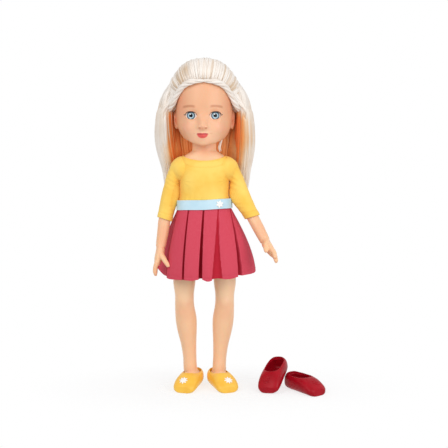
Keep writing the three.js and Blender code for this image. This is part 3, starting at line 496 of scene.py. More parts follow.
for side in (-1, 1):
    cutter = newForm(bpy.ops.mesh.primitive_cylinder_add, "cutter", vertices=56, radius=1, depth=2)
    for vertex in cutter.data.vertices:
        x, z = almond(side, math.atan2(vertex.co.y, vertex.co.x))
        vertex.co = spot(x, eyeY[side] + 2.0 + vertex.co.z * 7, z)
    turnOutwards(cutter)
    cutBy(head, cutter)
finished(head, faceVinyl, "head", replaces=["head"], angle=40)

# Eyes: a ball behind each opening, its iris looking straight ahead
# wet clear gloss over a printed iris, with painted shade under the lid and a painted glint
eyeAcrylic, tree, shader = newMaterial("castAcrylicEye",
                                       finish={"Roughness": 0.2, "Specular IOR Level": 0.12})
coords = addNode(tree, "TexCoord").outputs["Object"]
irisStops = [(0.0, "#05070A"), (0.34, "#05070A"), (0.41, "#B9D8E8"), (0.5, "#A9C8D6"), (0.6, "#7F9FB1"),
             (0.7, "#3C5162"), (0.78, "#34444F"), (0.83, "#8FA0AC")]
paint = hexColor("#FBF8F5")
for side in (-1, 1):
    x, y, z = eyes["middle"] + side * eyes["apart"] / 2 - 0.1, eyeY[side], eyes["z"]
    offset, far = farFrom(tree, coords, (x, 0, z + 0.1), (200, 0, 200))
    ring = addNode(tree, "ValToRGB", inputs={"Fac": far}, stops=irisStops)
    irisEdge = {"From Min": 0.77, "From Max": 0.83}
    inside = addNode(tree, "MapRange", smoothly, {"Value": far, **irisEdge, **fadingOut})
    paint = addNode(tree, "Mix", {"data_type": "RGBA"}, {"Factor": inside.outputs[0], "A": paint,
                                                         "B": ring.outputs["Color"]}).outputs["Result"]
    # the upper lid's painted shade, the paler foot of the iris and a painted glint
    for code, strength, centre, radii, inner in (
            ("#2E3A44", 0.8, (x, y, z + 4.6), (8, 12, 3.4), 0.35),
            ("#D4EAF4", 0.7, (x - 0.6, y, z - 2.2), (1.7, 12, 1.2), 0.3),
            ("#FFFFFF", 1.0, (x - 0.7, y, z + 1.5), (0.72, 12, 0.62), 0.7)):
        paint = blotted(tree, coords, paint, code, strength, centre, radii, inner)
setSockets(tree, shader, {"Base Color": paint})
# flat dark brown line on the vinyl
lashPaint = newMaterial("paintedLashLine", finish={"Base Color": hexColor("#4A3630"), "Roughness": 0.6})[0]


def lashLine(name, path):
    # a tapering line along a list of points, half as thick as it is wide
    def sectionAt(share):
        run = runOf(path, share, 0.01)
        side = run.cross(Vector((0, 1, 0))).normalized()
        radius = 0.17 + 0.27 * share
        return Vector(between(path, share)), side * radius, run.cross(side) * (radius * 0.5)

    return mouldedBall(name, 8, 60, sectionAt)


for name, side in sidesOfDoll:
    outwards = Vector((lean[side].x, lean[side].y, 0)).normalized()
    front = spot(eyes["middle"] + side * eyes["apart"] / 2, eyeY[side],
                 eyes["z"]) - outwards * (eyes["inset"] / 1000)
    radius = eyes["ballRadius"] / 1000
    ball = newForm(bpy.ops.mesh.primitive_uv_sphere_add, "eye_cap_" + name, segments=96, ring_count=64,
                   radius=radius, location=front - outwards * radius)
    bpy.ops.object.mode_set(mode="EDIT")
    bpy.ops.mesh.select_all(action="SELECT")
    bpy.ops.mesh.bisect(plane_co=front - outwards * (eyes["capDepth"] / 1000), plane_no=outwards,
                        clear_inner=True, use_fill=True)
    bpy.ops.object.mode_set(mode="OBJECT")
    finished(ball, eyeAcrylic, "head", replaces=["eye_" + name])
    lash = []
    for i in range(29):
        angle = math.radians(172 - i * 6)
        x, z = almond(side, angle, 0.12)
        y, normal = surfaceAt(head, x + side * 0.35 * math.cos(angle), z + 0.3)
        lash.append([x, y - 0.02, z])
    x, y, z = lash[-1]
    lash.append([x + side * 1.5, y + 0.75, z + 0.9])
    finished(lashLine("eye_lash_line_" + name, lash), lashPaint, "head")
print("head done")

# Hair: fine nylon drawn as locks, each a tapering ribbon of fibres with its own tone and painted shade
# pale glossy fibres, with warm orange painted where light is trapped inside the shaded hair
nylonHair, tree, shader = newMaterial("nylonFilamentHair",
                                      finish={"Roughness": 0.42, "Specular IOR Level": 0.55})
warmShadeShare = addNode(tree, "Attribute", {"attribute_name": "warmShade"}).outputs["Fac"]
lockToneAndShade = addNode(tree, "Attribute", {"attribute_name": "toneAndShade"}).outputs["Fac"]
along = addNode(tree, "UVMap", {"uv_map": "strand"}).outputs["UV"]
run = addNode(tree, "VectorMath", {"operation": "MULTIPLY"}, {0: along, 1: (1.0, 0.035, 1.0)})
fibres = addNode(tree, "TexNoise", inputs={"Vector": run.outputs[0], "Scale": 2.6, "Detail": 3.0,
                                           "Roughness": 0.6}).outputs["Fac"]
mixed = addNode(tree, "Math", {"operation": "MULTIPLY_ADD"}, {0: fibres, 1: 0.3, 2: -0.15}).outputs[0]
warm = addNode(tree, "Math", {"operation": "MULTIPLY_ADD"}, {0: warmShadeShare, 1: mixed, 2: warmShadeShare})
# from the fibres' own platinum to the warm orange of painted shade
hairStops = [(0.0, "#F7F1EB"), (0.22, "#F2DCC3"), (0.5, "#F0BC88"), (0.75, "#F8A458"), (1.0, "#FF8B46")]
base = addNode(tree, "ValToRGB", inputs={"Fac": warm.outputs[0]}, stops=hairStops).outputs["Color"]
streaks = {"From Min": 0.5, "From Max": 0.3, "To Min": 0.0, "To Max": 0.42}
dark = addNode(tree, "MapRange", inputs={"Value": fibres, **streaks})
# darker streaks along the fibres, then each lock's tone and painted shade
for weight, code in ((dark.outputs["Result"], "#D8C3AE"), (lockToneAndShade, "#D9C0A0")):
    base = addNode(tree, "Mix", {"data_type": "RGBA", "blend_type": "MULTIPLY"},
                   {"Factor": weight, "A": base, "B": hexColor(code)}).outputs["Result"]
setSockets(tree, shader, {"Base Color": base})
bump = addNode(tree, "Bump", inputs={"Height": fibres, "Distance": 0.00035, "Strength": 0.7})
setSockets(tree, shader, {"Normal": bump.outputs[0]})

chance = random.Random(41)
headMiddle = Vector((0, 4, 285))
tiePlace = Vector((0, 45.4, 279.9))
crownRings = [[264.4, 31.4, 2.4, 33.4], [272.4, 34.4, -1.6, 35.9], [282.4, 36.6, -7.6, 37],
              [292.4, 36.8, -16.6, 36.6], [302.4, 33.8, -23, 34.1], [311, 28.4, -24.4, 29.4],
              [317.6, 23.2, -22.6, 24.2], [322.4, 17.4, -19, 18.6], [325.2, 10.6, -15, 12], [326, 4, -9, 5]]
cap = mouldedBall("hair_cap", 96, 60, uprightSections(crownRings))


def capPoint(direction, lift):
    hit, where, normal, index = cap.ray_cast(spot(*headMiddle), direction.normalized())
    return inMm(where) + direction.normalized() * lift


def toneAndShadeOf(lock, here, t, warmShade):
    # painted shade in the lock's hollow and beside the quiff's lift, and painted light at its ends and its
    # root
    quiffShade = 0.85 * math.exp(-((here.x + 17) / 4.2) ** 2 - ((here.z - 316) / 6.5) ** 2)
    shadow = lock["toneAndShade"] + lock["hollow"] * max(0, 1 - t * 5) + quiffShade * lock["quiff"]
    sunlit = 0.8 * lock["paleEnds"] * clamp((262 - here.z) / 24)
    root = 1 - 0.8 * lock["paleEnds"] * clamp((here.z - 274) / 18)
    return min(1, shadow) * (1 - 0.55 * warmShade) * (1 - sunlit) * root


def hairMesh(name, locks, rows=18, around=7):
    # all locks of one tress in a single mesh, with their fibres' direction in the UV map
    points, faces, tonesAndShades, warmShades, fibreMap = [], [], [], [], []
    for lock in locks:
        first = len(points)
        runs = [0.0]
        for row in range(rows + 1):
            t = row / rows
            here = Vector(between(lock["path"], t)[:3])
            heading = runOf(lock["path"], t, 0.02)
            side = heading.cross(lock["outwards"](here, t)).normalized()
            out = side.cross(heading).normalized()
            thinning = max(0, (t - lock["tapersFrom"]) / (1.0001 - lock["tapersFrom"])) ** 1.5
            swell = min(1, lock["root"] + 5 * t) * (1 - lock["taper"] * thinning)
            wide, deep = lock["wide"] * swell, lock["deep"] * swell
            if row:
                runs.append(runs[-1] + (here - before).length)
            before = here
            for k in range(around):
                turn = 2 * math.pi * k / around
                points.append(spot(*(here + side * (wide * math.cos(turn)) + out * (deep * math.sin(turn)))))
            warmShade = lock["warmShade"](here, t) if callable(lock["warmShade"]) else lock["warmShade"]
            warmShades += [warmShade] * around
            tonesAndShades += [toneAndShadeOf(lock, here, t, warmShade)] * around
        for row in range(rows):
            for k in range(around):
                a = first + row * around + k
                b = first + row * around + (k + 1) % around
                faces.append((a, b, b + around, a + around))
                left, right = (lock["wide"] * 0.9 * edge + lock["seed"] for edge in (k, k + 1))
                low, high = runs[row], runs[row + 1]
                fibreMap += [(left, low), (right, low), (right, high), (left, high)]
        faces.append(tuple(first + k for k in reversed(range(around))))
        faces.append(tuple(first + rows * around + k for k in range(around)))
        fibreMap += [(lock["seed"], 0.0)] * around + [(lock["seed"], runs[-1])] * around
    piece = meshForm(name, points, faces)
    fibreLayer = piece.data.uv_layers.new(name="strand")
    for i, place in enumerate(fibreMap):
        fibreLayer.data[i].uv = place
    storeValues(piece, "toneAndShade", tonesAndShades)
    storeValues(piece, "warmShade", warmShades)
    turnOutwards(piece)
    return piece


lockHabits = {"taper": 0.8, "tapersFrom": 0.6, "root": 0.35, "hollow": 0, "quiff": 0, "paleEnds": 0}


def lockOf(path, wide, deep, outwards, warmShade, toneAndShade, **habits):
    return {"path": [list(p) for p in path], "wide": wide, "deep": deep, "outwards": outwards,
            "warmShade": warmShade, "toneAndShade": clamp(toneAndShade), "seed": chance.uniform(0, 400), **lockHabits, **habits}


def fromHead(here, t):
    return (here - headMiddle).normalized()


def steady(*direction):
    return lambda here, t: Vector(direction)


def twistPath(side):
    return [[side * x, y, neckTop + z] for x, y, z in
            ((-0.8, -26.6, 54.1), (11.5, -25.2, 53.2), (19.8, -20.2, 49.6), (26, -14, 42), (30.6, -8.5, 33.4),
             (34.6, -2, 28.4), (38, 10, 25.4), (35.4, 25, 27.4), (22, 38.5, 30.5), (2.6, 45.2, 31))]


# the crown: locks combed from the hairline over the head to the tie, in a wide layer and a fine one above it
crownLayers = ((17, 4.6, 1.5, 0.3), (24, 1.9, 1.0, 1.1), (15, 0.8, 0.6, 1.9))
# the quiff's shaded hollows as (place, width, side): at the parting, on the right, at the left temple
quiffHollows = ((0.02, 0.07, -1), (0.34, 0.12, -1), (0.45, 0.12, 1))
crownLocks = []
for side in (-1, 1):
    for layer, (count, wide, deep, lift) in enumerate(crownLayers):
        for i in range(count):
            share = (i + 0.1 + chance.uniform(-0.25, 0.25)) / count
            start = Vector(between(twistPath(side), max(share, 0) * 0.66)) + Vector((0, 0, 1.6 - layer * 0.5))
            start.x -= side * max(0, 2.4 * (1 - i))
            first = (start - headMiddle).normalized()
            tied = tiePlace + Vector((side * chance.uniform(0, 3.4), 0, chance.uniform(-2, 3)))
            last = (tied - headMiddle).normalized()
            rise = Vector((side * 0.05, 0, 1.15)) * clamp(1 - share * 1.15) ** 0.8
            top = (first + last + rise).normalized()
            drift = Vector((chance.uniform(-0.03, 0.03), 0, chance.uniform(-0.03, 0.03)))
            turnings = [first, (first + top + drift).normalized(), top, (top + last).normalized(), last]
            path = []
            for step in range(13):
                t = step / 12
                wave = 0.9 * math.sin(math.pi * min(1, t * 1.4)) * (1 - max(share, 0))
                path.append(capPoint(Vector(between(turnings, t)), lift + wave))
            path[0] = path[0] - first * (1.2 - layer * 0.3)
            shadow = 0.65 if layer == 0 else 0.12
            hollow = max(0.9 * max(0, 1 - abs(share - place) / width) * (onSide == side)
                         for place, width, onSide in quiffHollows)
            crownLocks.append(lockOf(path, wide * chance.uniform(0.85, 1.15), deep, fromHead, 0.0,
                                     shadow * chance.uniform(0.3, 1.1), taper=0.72, tapersFrom=0.15,
                                     hollow=hollow, quiff=1))
crown = hairMesh("hair_crown_locks", crownLocks)
# the cap seen between the locks: painted shade, with warm painted shade along its lower edge under the
# hairline
lowShare = [clamp((283.5 - (vertex.co.z * 1000)) / 4) for vertex in cap.data.vertices]
storeValues(cap, "toneAndShade", [0.45 - 0.25 * low for low in lowShare])
storeValues(cap, "warmShade", [0.1 + 0.85 * low for low in lowShare])
cap.data.uv_layers[0].name = "strand"
finished(cap, nylonHair, "head", replaces=["hair_crown"])
finished(crown, nylonHair, "head", replaces=["hair_crown"])
print("crown done")

# the rolled strands along the hairline: four plies laid round each other, from the forehead to the tie
ropeTurns = 3.2
ropes = {-1: [], 1: []}
for side in (-1, 1):
    for ply in range(4):
        path = []
        for step in range(61):
            t = step / 60
            here = Vector(between(twistPath(side), t))
            heading = runOf(twistPath(side), t, 0.01)
            across = heading.cross((here - headMiddle).normalized()).normalized()
            out = across.cross(heading)
            turn = side * t * 2 * math.pi * ropeTurns + ply * math.pi / 2
            reach = 1.5 * min(1, 0.4 + t * 6)
            path.append(here + across * (math.cos(turn) * reach) + out * (math.sin(turn) * reach))
        ropes[side].append(lockOf(path, 1.75, 1.45, fromHead, 0.0, chance.uniform(0.0, 0.25), taper=0.4,
                                  tapersFrom=0.9))
for name, side in sidesOfDoll:
    rope = hairMesh("hair_rope_" + name, ropes[side], rows=90, around=8)
    finished(rope, nylonHair, "head", replaces=["hair_twist_" + name])
print("ropes done")
# the falls over the ears: a shell of locks round each hanging tress, in warm painted shade on the side turned
# to the neck
sideFall = [[33, 5, 305, 3.5, 6], [37.5, 2.5, 296, 4.4, 8.4], [40.5, 3, 288, 5.4, 10],
            [41.4, 4.5, 276.4, 7, 12], [42, 7.5, 262.4, 8.8, 13], [41.2, 11.5, 247.4, 9.8, 11.5],
            [38.8, 15.8, 233.4, 9.4, 8.6], [36.2, 20.2, 220.4, 8.2, 6.6], [35.2, 21.8, 207.4, 7.6, 5],
            [34.6, 22.2, 195.4, 6, 3.4], [34, 22.2, 189, 4, 2.4]]
hangingHair = ("torso", "head", spot(0, 0, 205), spot(0, 0, 255))

def fallPath(side, turn, reach, last, stray):
    path = []
    for step in range(15):
        t = step / 14 * last
        x, y, z, wide, deep = between(sideFall, t)
        sway = math.sin(t * 5 + turn * 3) * 0.7
        low = clamp((252 - z) / 30)
        x += -2.4 + 0.8 * low if side < 0 else -1.6 + 3.6 * low
        path.append(Vector((side * (x + math.cos(turn) * wide * reach + stray[0] * t ** 3 + sway),
                            y + math.sin(turn) * deep * reach + stray[1] * t ** 3, z)))
    return path


# where each fall's pale outside gives way to warm painted shade: (height, distance from the middle, width of
# the change)
warmShadeEdges = {-1: [(300, 34, 4), (280, 35.5, 4), (272, 37, 4), (258, 37.5, 6), (243, 43, 12), (232, 42, 12),
                    (215, 38, 9), (188, 32, 7)],
               1: [(300, 33, 4), (280, 36, 5), (269, 47, 12), (250, 52, 17), (236, 46.5, 15), (220, 41, 12),
                   (188, 33, 8)]}


def warmShadeInFall(side, shift, more=0.0):
    # warm painted shade inside a fall's edge, and a trace of it near the tips
    def warmShadeAt(here, t):
        edges = warmShadeEdges[side]
        for (high, edgeHigh, wideHigh), (low, edgeLow, wideLow) in zip(edges, edges[1:]):
            if here.z >= low:
                part = clamp((high - here.z) / (high - low))
                edge = edgeHigh + (edgeLow - edgeHigh) * part
                wide = wideHigh + (wideLow - wideHigh) * part
                break
        share = min(1, max(0, (edge + shift - abs(here.x)) / wide) + more)
        fading = 1 - 0.4 * clamp((232 - here.z) / 30)
        tips = 0.12 if side > 0 else 0.02
        tips *= clamp((252 - here.z) / 22) * clamp((edge + 9 - abs(here.x)) / 8)
        return max(share * fading * clamp((283 - here.z) / 9), tips)

    return warmShadeAt


def coverOutwards(side, turn):
    return lambda here, t: Vector((side * (0.4 + math.cos(turn)), math.sin(turn) * 0.8, 0.5 * (1 - t)))


def templeOutwards(side):
    return lambda here, t: Vector((side * (0.35 + 0.8 * t), -0.8 + 0.4 * t, 0.35 * (1 - t)))


fallLayers = ((9, 0.45, 3.4, 2.2), (18, 0.78, 3.0, 1.3), (22, 0.9, 1.3, 0.8), (14, 0.97, 0.55, 0.45))
for name, side in sidesOfDoll:
    locks = []
    for layer, (count, reach, wide, deep) in enumerate(fallLayers):
        for i in range(count):
            turn = 2 * math.pi * (i + chance.uniform(-0.25, 0.25)) / count
            warmShade = warmShadeInFall(side, chance.uniform(-3, 2), 0.3 if layer == 0 else 0)
            last = chance.uniform(0.84, 1.0) if layer else 0.9
            stray = (chance.uniform(-1, 3.2) if layer > 1 else chance.uniform(-0.6, 1),
                     chance.uniform(-1.5, 2))
            path = fallPath(side, turn, reach, last, stray)
            # a random tone, painted shade on the locks turned outwards, darker on the doll's right fall, and
            # painted light at the ends
            locks.append(lockOf(path, wide * chance.uniform(0.8, 1.2), deep,
                                steady(side * math.cos(turn), math.sin(turn), 0.05), warmShade,
                                chance.uniform(0.25, 0.65 if layer < 2 else 0.45)
                                + 0.35 * max(0, math.cos(turn)) ** 3 + (0.15 if side < 0 else 0),
                                taper=0.85, tapersFrom=0.55, paleEnds=1))
    for i in range(16):
        # locks that leave the crown and lie over the root of the fall
        y = -14 + 38 * (i + chance.uniform(-0.3, 0.3)) / 15
        start = [capPoint(Vector((side * 0.50, (y - 8) / 60, 0.86)), 0.6),
                 capPoint(Vector((side * 0.80, (y - 4) / 44, 0.56)), 1.3),
                 capPoint(Vector((side * 0.97, (y - 2) / 40, 0.22)), 2.6)]
        turn = math.radians(-70 + 120 * i / 15)
        end = chance.choice((12, 14, 15))
        rest = fallPath(side, turn, 0.96, 1.0, (1, 1))[4:end]
        # painted shade on the locks turned outwards, and painted light at the ends
        locks.append(lockOf(start + rest, 2.3 * chance.uniform(0.8, 1.15), 1.0, coverOutwards(side, turn),
                            warmShadeInFall(side, chance.uniform(-4, 2)),
                            chance.uniform(0.15, 0.5) + 0.3 * max(0, math.cos(turn)) ** 3, paleEnds=1))
    for i in range(11):
        # locks that come off the roll at the temple and lie over the top of the ear
        low = i / 10
        start = [Vector((side * x, y, z)) for x, y, z in (
            (28.6 + 1.4 * low, -13 + low * 5, 292.6 - low * 4.6),
            (32.4 + 1.4 * low, -9.5 + low * 4, 288.4 - low * 6),
            (36.2 + low, -5.5 + low * 3, 283.2 - low * 5.5),
            (38.8 + 0.6 * low, -5 + low * 3, 275.6 - low * 5))]
        end = chance.choice((12, 14, 15))
        rest = fallPath(side, math.radians(-100 + 78 * low), 0.95, 1.0, (1.5, 0))[5:end]
        # painted light at the ends
        locks.append(lockOf(start + rest, 2.0 * chance.uniform(0.85, 1.15), 0.9, templeOutwards(side),
                            warmShadeInFall(side, chance.uniform(-4, 1)), chance.uniform(0.1, 0.45), paleEnds=1))
    for i in range(14):
        # strands that hang inside the fall, beside the neck, in warm painted shade
        x, y = 24 + 1.0 * i, 15 - 0.6 * i
        path = [Vector((side * (x + ahead), y + behind, z)) for ahead, behind, z in (
            (4, 2, 268), (3, 0, 256), (1.5, -1, 245), (0, 1, 236), (-0.6, 6, 226))]
        locks.append(lockOf(path, 1.4 * chance.uniform(0.7, 1.3), 0.7, steady(-side * 0.5, -1, 0),
                            (0.92 if side < 0 else 0.76) - 0.035 * i, chance.uniform(0, 0.3)))
    if side > 0:
        # the pale wisp beside the neck
        for shift in (0, 1.1):
            path = [Vector((x + shift, y, z + shift)) for x, y, z in (
                (21, 8, 260), (17.6, 4, 252), (15.2, 1.5, 245), (14.6, 1, 240.4), (15.8, 2, 237))]
            locks.append(lockOf(path, 1.0, 0.6, steady(0.3, -1, 0), 0.08, 0.1))
    fall = hairMesh("hair_fall_" + name, locks, rows=26)
    finished(fall, nylonHair, hangingHair, replaces=["hair_side_" + name])
print("falls done")

# the back: a wide flat fall, platinum outside and in warm painted shade on the side towards the neck
backRings = [[188.4, 20, 20.5, 23.5], [193.4, 25, 20, 26], [206.4, 27.4, 20, 29], [221.4, 28, 19, 31],
             [232.4, 30.5, 17, 33], [244.4, 33.5, 15, 35.5], [255.4, 34.4, 16, 37],
             [263.8, 34.5, 16.5, 38.4], [272, 36, 17, 39.6], [281, 33.5, 18, 36]]
backLayers = {1: (26, ((0, 2.4, 1.2), (1, 1.2, 0.8), (1, 0.6, 0.5))),
              -1: (24, ((0, 2.4, 1.2), (1, 1.0, 0.7)))}


def warmShadeInBack(here, t):
    return 0.97 - (0.3 if here.x < 0 else 0.42) * abs(here.x) / 34 - 0.35 * clamp((215 - here.z) / 25)


backLocks = []
for face, (count, layers) in backLayers.items():
    for lift, wide, deep in layers:
        for i in range(count):
            q = -0.97 + 1.94 * (i + chance.uniform(0.2, 0.8)) / count
            low = chance.uniform(0, 0.09)
            drift = chance.uniform(-0.03, 0.03)
            path = []
            for step in range(15):
                t = 1 - step / 14 * (1 - low)
                if face < 0:
                    t *= 0.93
                z, half, front, back = between(backRings, t)
                across = min(max(q + drift * (1 - t), -0.99), 0.99)
                bulge = (1 - abs(across) ** 3) ** (1 / 3)
                y = (front + back) / 2 + face * ((back - front) / 2 + lift * 0.7) * bulge
                path.append(Vector((half * across, y, z)))
            backLocks.append(lockOf(path, wide * chance.uniform(0.8, 1.2), deep, steady(q * 0.4, face, 0),
                                    0.08 if face > 0 else warmShadeInBack, chance.uniform(0, 0.35), root=1,
                                    tapersFrom=0.8))
back = hairMesh("hair_back_locks", backLocks, rows=20)
finished(back, nylonHair, hangingHair, replaces=["hair_back"])

# the tail hanging from the tie, and the band that holds it
tailStations = [[0, 42.6, 281.6, 2.4, 1.4], [0, 43.6, 278.4, 3.0, 2.2], [0, 45, 271.4, 6, 3.2],
                [0, 42, 257.4, 8, 3], [0, 38.6, 241.4, 7.4, 2.8], [0, 35.8, 226.4, 5, 2.2],
                [0, 34.8, 218.4, 2.4, 1.4]]
tailLocks = []
for reach, count, wide, deep in ((0.35, 6, 2.4, 1.6), (0.85, 12, 1.9, 1.0), (1.05, 12, 0.7, 0.5)):
    for i in range(count):
        turn = 2 * math.pi * (i + chance.uniform(-0.2, 0.2)) / count
        last = chance.uniform(0.86, 1)
        path = []
        for step in range(13):
            x, y, z, half, depth = between(tailStations, step / 12 * last)
            path.append(Vector((math.cos(turn) * half * reach, y + math.sin(turn) * depth * reach, z)))
        tailLocks.append(lockOf(path, wide, deep, steady(math.cos(turn), math.sin(turn), 0), 0.06,
                                chance.uniform(0, 0.4)))
tail = hairMesh("hair_tail_locks", tailLocks)
finished(tail, nylonHair, hangingHair, replaces=["hair_tail"])

# milky stretched rubber
bandRubber = newMaterial("clearElasticBand", finish={"Base Color": hexColor("#EDE6DC"), "Roughness": 0.3})[0]
band = newForm(bpy.ops.mesh.primitive_torus_add, "hair_band", location=spot(*tiePlace), rotation=(0.35, 0, 0),
               major_segments=48, minor_segments=12, major_radius=0.0046, minor_radius=0.0013)
finished(band, bandRubber, "head", replaces=["hair_tie"])
print("hair done")

# Body: the vinyl torso with its neck, cut away round the hips
torsoRings = [[137, 17, -8, 10], [142, 24, -12, 14], [151, 27.6, -15.5, 17.5], [161, 28, -17, 18.5],
              [172, 25.4, -16, 16], [185, 23.2, -14.5, 14], [197, 23.3, -15, 14], [208, 23.5, -16, 14.5],
              [219, 23.6, -15.5, 14.5], [228, 23.2, -13.3, 14], [232.5, 21, -12, 13.9],
              [236, 16, -11.1, 13.8], [238, 12.5, -10.8, 13.8]]
torsoSquare = 2.3
hip = {"y": 1, "z": 153, "disc": 14.6, "crotchHalf": 7, "socketRadius": 15, "socketDepth": 33, "openDown": 30}
shoulder = {"y": 0.5, "z": 220.3, "face": 23.4}


def turnedForm(name, profile, centre, side, segments=48):
    # a form turned round the line through a joint, given as [distance out along X, radius]
    def sectionAt(share):
        out, radius = between(profile, share)
        radius = max(radius, 0.01)
        return Vector((side * out, centre["y"], centre["z"])), Vector((0, radius, 0)), Vector((0, 0, radius))

    return mouldedBall(name, segments, (len(profile) - 1) * 4, sectionAt)


trunk = mouldedBall("trunk", 96, 90, uprightSections(torsoRings), square=torsoSquare)
neckRings = [[228, 9, -7, 11], [234, 13.5, -10.8, 14.2], [238.5, 12.3, -10.6, 13.7],
             [243, 11.9, -10.4, 13.4], [249, 12, -10.5, 13.5], [250.4, 11, -9.5, 12.5]]
torso = fused("torso_vinyl", [trunk, mouldedBall("neck", 56, 30, uprightSections(neckRings))], 0.8, 4)
for side in (-1, 1):
    place = spot(side * (hip["crotchHalf"] + hip["socketDepth"] / 2), hip["y"], hip["z"])
    socket = newForm(bpy.ops.mesh.primitive_cylinder_add, "socket", vertices=72, location=place,
                     radius=hip["socketRadius"] / 1000, depth=hip["socketDepth"] / 1000,
                     rotation=(0, math.radians(90), 0))
    for vertex in socket.data.vertices:
        # the socket is open downwards, so that the leg swings out of it
        if vertex.co.z < hip["z"] / 1000:
            vertex.co.z -= hip["openDown"] / 1000
            ahead = math.copysign(hip["socketRadius"], vertex.co.y - dollOrigin.y - hip["y"] / 1000)
            vertex.co.y = dollOrigin.y + (hip["y"] + ahead * 1.02) / 1000
    cutBy(torso, socket)
finished(torso, vinylSkin, "torso", replaces=["torso_front_shell", "torso_back_shell", "neck_knob"],
         angle=40)

# Arms with their hands; each hangs from its own list of sections [x, y, z, half width, half depth]
arms = {
    "right": {"stations": [[28.6, 0.5, 223, 3.2, 6.6], [31.2, 0.3, 213, 4.9, 7], [33.2, 0, 203, 5.6, 6.5],
                           [35.6, -0.7, 192, 6.1, 6.3], [37.8, -2, 180, 6.1, 6], [40, -4, 168, 6.1, 5.9],
                           [41.2, -5.5, 158, 5.8, 5.5], [42.6, -7, 149, 5.3, 5.1], [43.4, -8, 143, 4.9, 5]],
              "cuff": (39.9, -4, 170.6), "cuffLean": 18, "handLean": 0, "handPitch": 0, "thumbSpread": 1.0},
    "left": {"stations": [[28.8, 0.5, 223, 3.2, 6.6], [31.6, 0.2, 213, 5, 7], [34.6, -1, 203, 6, 6.5],
                          [38, -3, 193, 6.4, 6.3], [42.6, -6.5, 183, 6.1, 6], [48.2, -11.5, 172.6, 5.8, 5.8],
                          [53, -16, 163.6, 5.7, 5.5], [57.2, -20, 155.6, 5.3, 5.2],
                          [60, -22.6, 150.4, 4.9, 5]],
             "cuff": (47.8, -11, 173.4), "cuffLean": 17, "handLean": 14, "handPitch": 42, "thumbSpread": 0.2},
}
handForms = {
    "palm": [[0, 0, 2.5, 4.3, 4.8], [0.5, -0.4, -2.5, 4.0, 5.4], [1.4, -0.8, -7, 3.5, 6.2],
             [2.4, -1.2, -12, 2.9, 6.4],
             [3.1, -1.5, -16.5, 2.2, 5.9], [3.4, -1.5, -18, 1.6, 5]],
    "thumb": [[0.6, -3.4, -4, 2.6, 2.8], [-0.6, -6, -8, 2.2, 2.6], [-2.4, -8, -12, 1.9, 2.0],
              [-4.2, -9.2, -15.6, 1.7, 1.75],
              [-5.4, -9.9, -18.6, 1.1, 1.1]],
}
for y, length in ((-6.3, 14), (-3.1, 15.6), (0.2, 14.6), (3.3, 11.6)):
    handForms["finger%d" % round(y)] = [
        [2.9, y, -13, 1.7, 1.62], [3.9, y * 1.04, -13 - length * 0.3, 1.62, 1.5],
        [4.5, y * 1.03, -13 - length * 0.55, 1.55, 1.42], [4.5, y * 1.0, -13 - length * 0.85, 1.35, 1.25],
        [4.1, y * 0.97, -13 - length, 0.8, 0.8]]
capProfile = [[23.7, 3], [23.7, 10.4], [25, 10.5], [27, 9.8], [29.6, 7.9], [31.6, 5.4], [33.2, 1.8],
              [33.5, 0.2]]


def placedHand(side, facts):
    # the hand's forms are written for the left hand, hanging from the wrist with its palm towards the body
    wrist = Vector(facts["stations"][-1][:3])
    turn = (Matrix.Translation(wrist) @ Matrix.Rotation(math.radians(-facts["handLean"]), 4, "Y")
            @ Matrix.Rotation(math.radians(-facts["handPitch"]), 4, "X"))
    forms = []
    for name, stations in handForms.items():
        if name == "thumb":
            spread = facts["thumbSpread"]
            stations = [[0.6 + (x - 0.6) * spread, -3.4 + (y + 3.4) * (0.45 + 0.55 * spread), *rest]
                        for x, y, *rest in stations]
        form = mouldedBall(name, 26, 30, limbSections(stations))
        for vertex in form.data.vertices:
            place = inMm(vertex.co)
            # palm and fingers are fuller than the wrist
            fuller = clamp(-place.z / 9)
            place = Vector((place.x + (place.x - 2.6) * 0.4 * fuller, place.y * (1 + 0.16 * fuller), place.z))
            place = turn @ place
            vertex.co = spot(side * place.x, place.y, place.z)
        turnOutwards(form)
        forms.append(form)
    return forms


for name, side in sidesOfDoll:
    facts = arms[name]
    stations = [[side * x, y, z, wide, deep] for x, y, z, wide, deep in facts["stations"]]
    limb = mouldedBall("limb", 44, 90, limbSections(stations))
    dome = turnedForm("dome", capProfile, shoulder, side)
    arm = fused("arm_" + name + "_vinyl", [limb, dome] + placedHand(side, facts), 0.42, 4)
    finished(arm, vinylSkin, "arm_" + name, replaces=["arm_" + name])
print("arms done")

# Legs: one moulded form from the hip to the sole
legStations = [[18.2, 1, 158, 9.2, 10], [18.6, 0.6, 146, 10.6, 13.2], [19.6, 0, 128, 11.4, 12.6],
               [20.4, -0.5, 107, 11.1, 11], [20.3, -1, 94, 9.5, 9.8], [20.1, -1.5, 82.5, 9.7, 9.8],
               [18.8, 1, 69, 10.6, 10.6], [17.8, 1.8, 57.5, 9.8, 10], [16.3, 2, 43, 7.8, 8.2],
               [15.3, 1.8, 30, 6.8, 7.2], [14.8, 1.2, 20, 6.8, 7.6]]
footStations = [[-11.6, 3.2, 4.4, 9.5], [-9.6, 6.2, 2.6, 14], [-3, 8, 2.2, 15.6], [6, 8.8, 2.2, 15.2],
                [14, 9.5, 2.2, 13.6], [20.6, 9.6, 2.2, 10.4], [25.6, 8.6, 2.2, 7], [28.4, 5.6, 2.6, 4.8]]
feet = {"right": {"ankle": 12.6, "toeOut": 16}, "left": {"ankle": 14, "toeOut": 21}}
hipProfile = [[7.7, 3], [7.7, 13.6], [9.3, 14.5], [18, 14.6], [23.4, 12.8], [26.6, 9], [28.2, 4.4],
              [28.6, 0.3]]


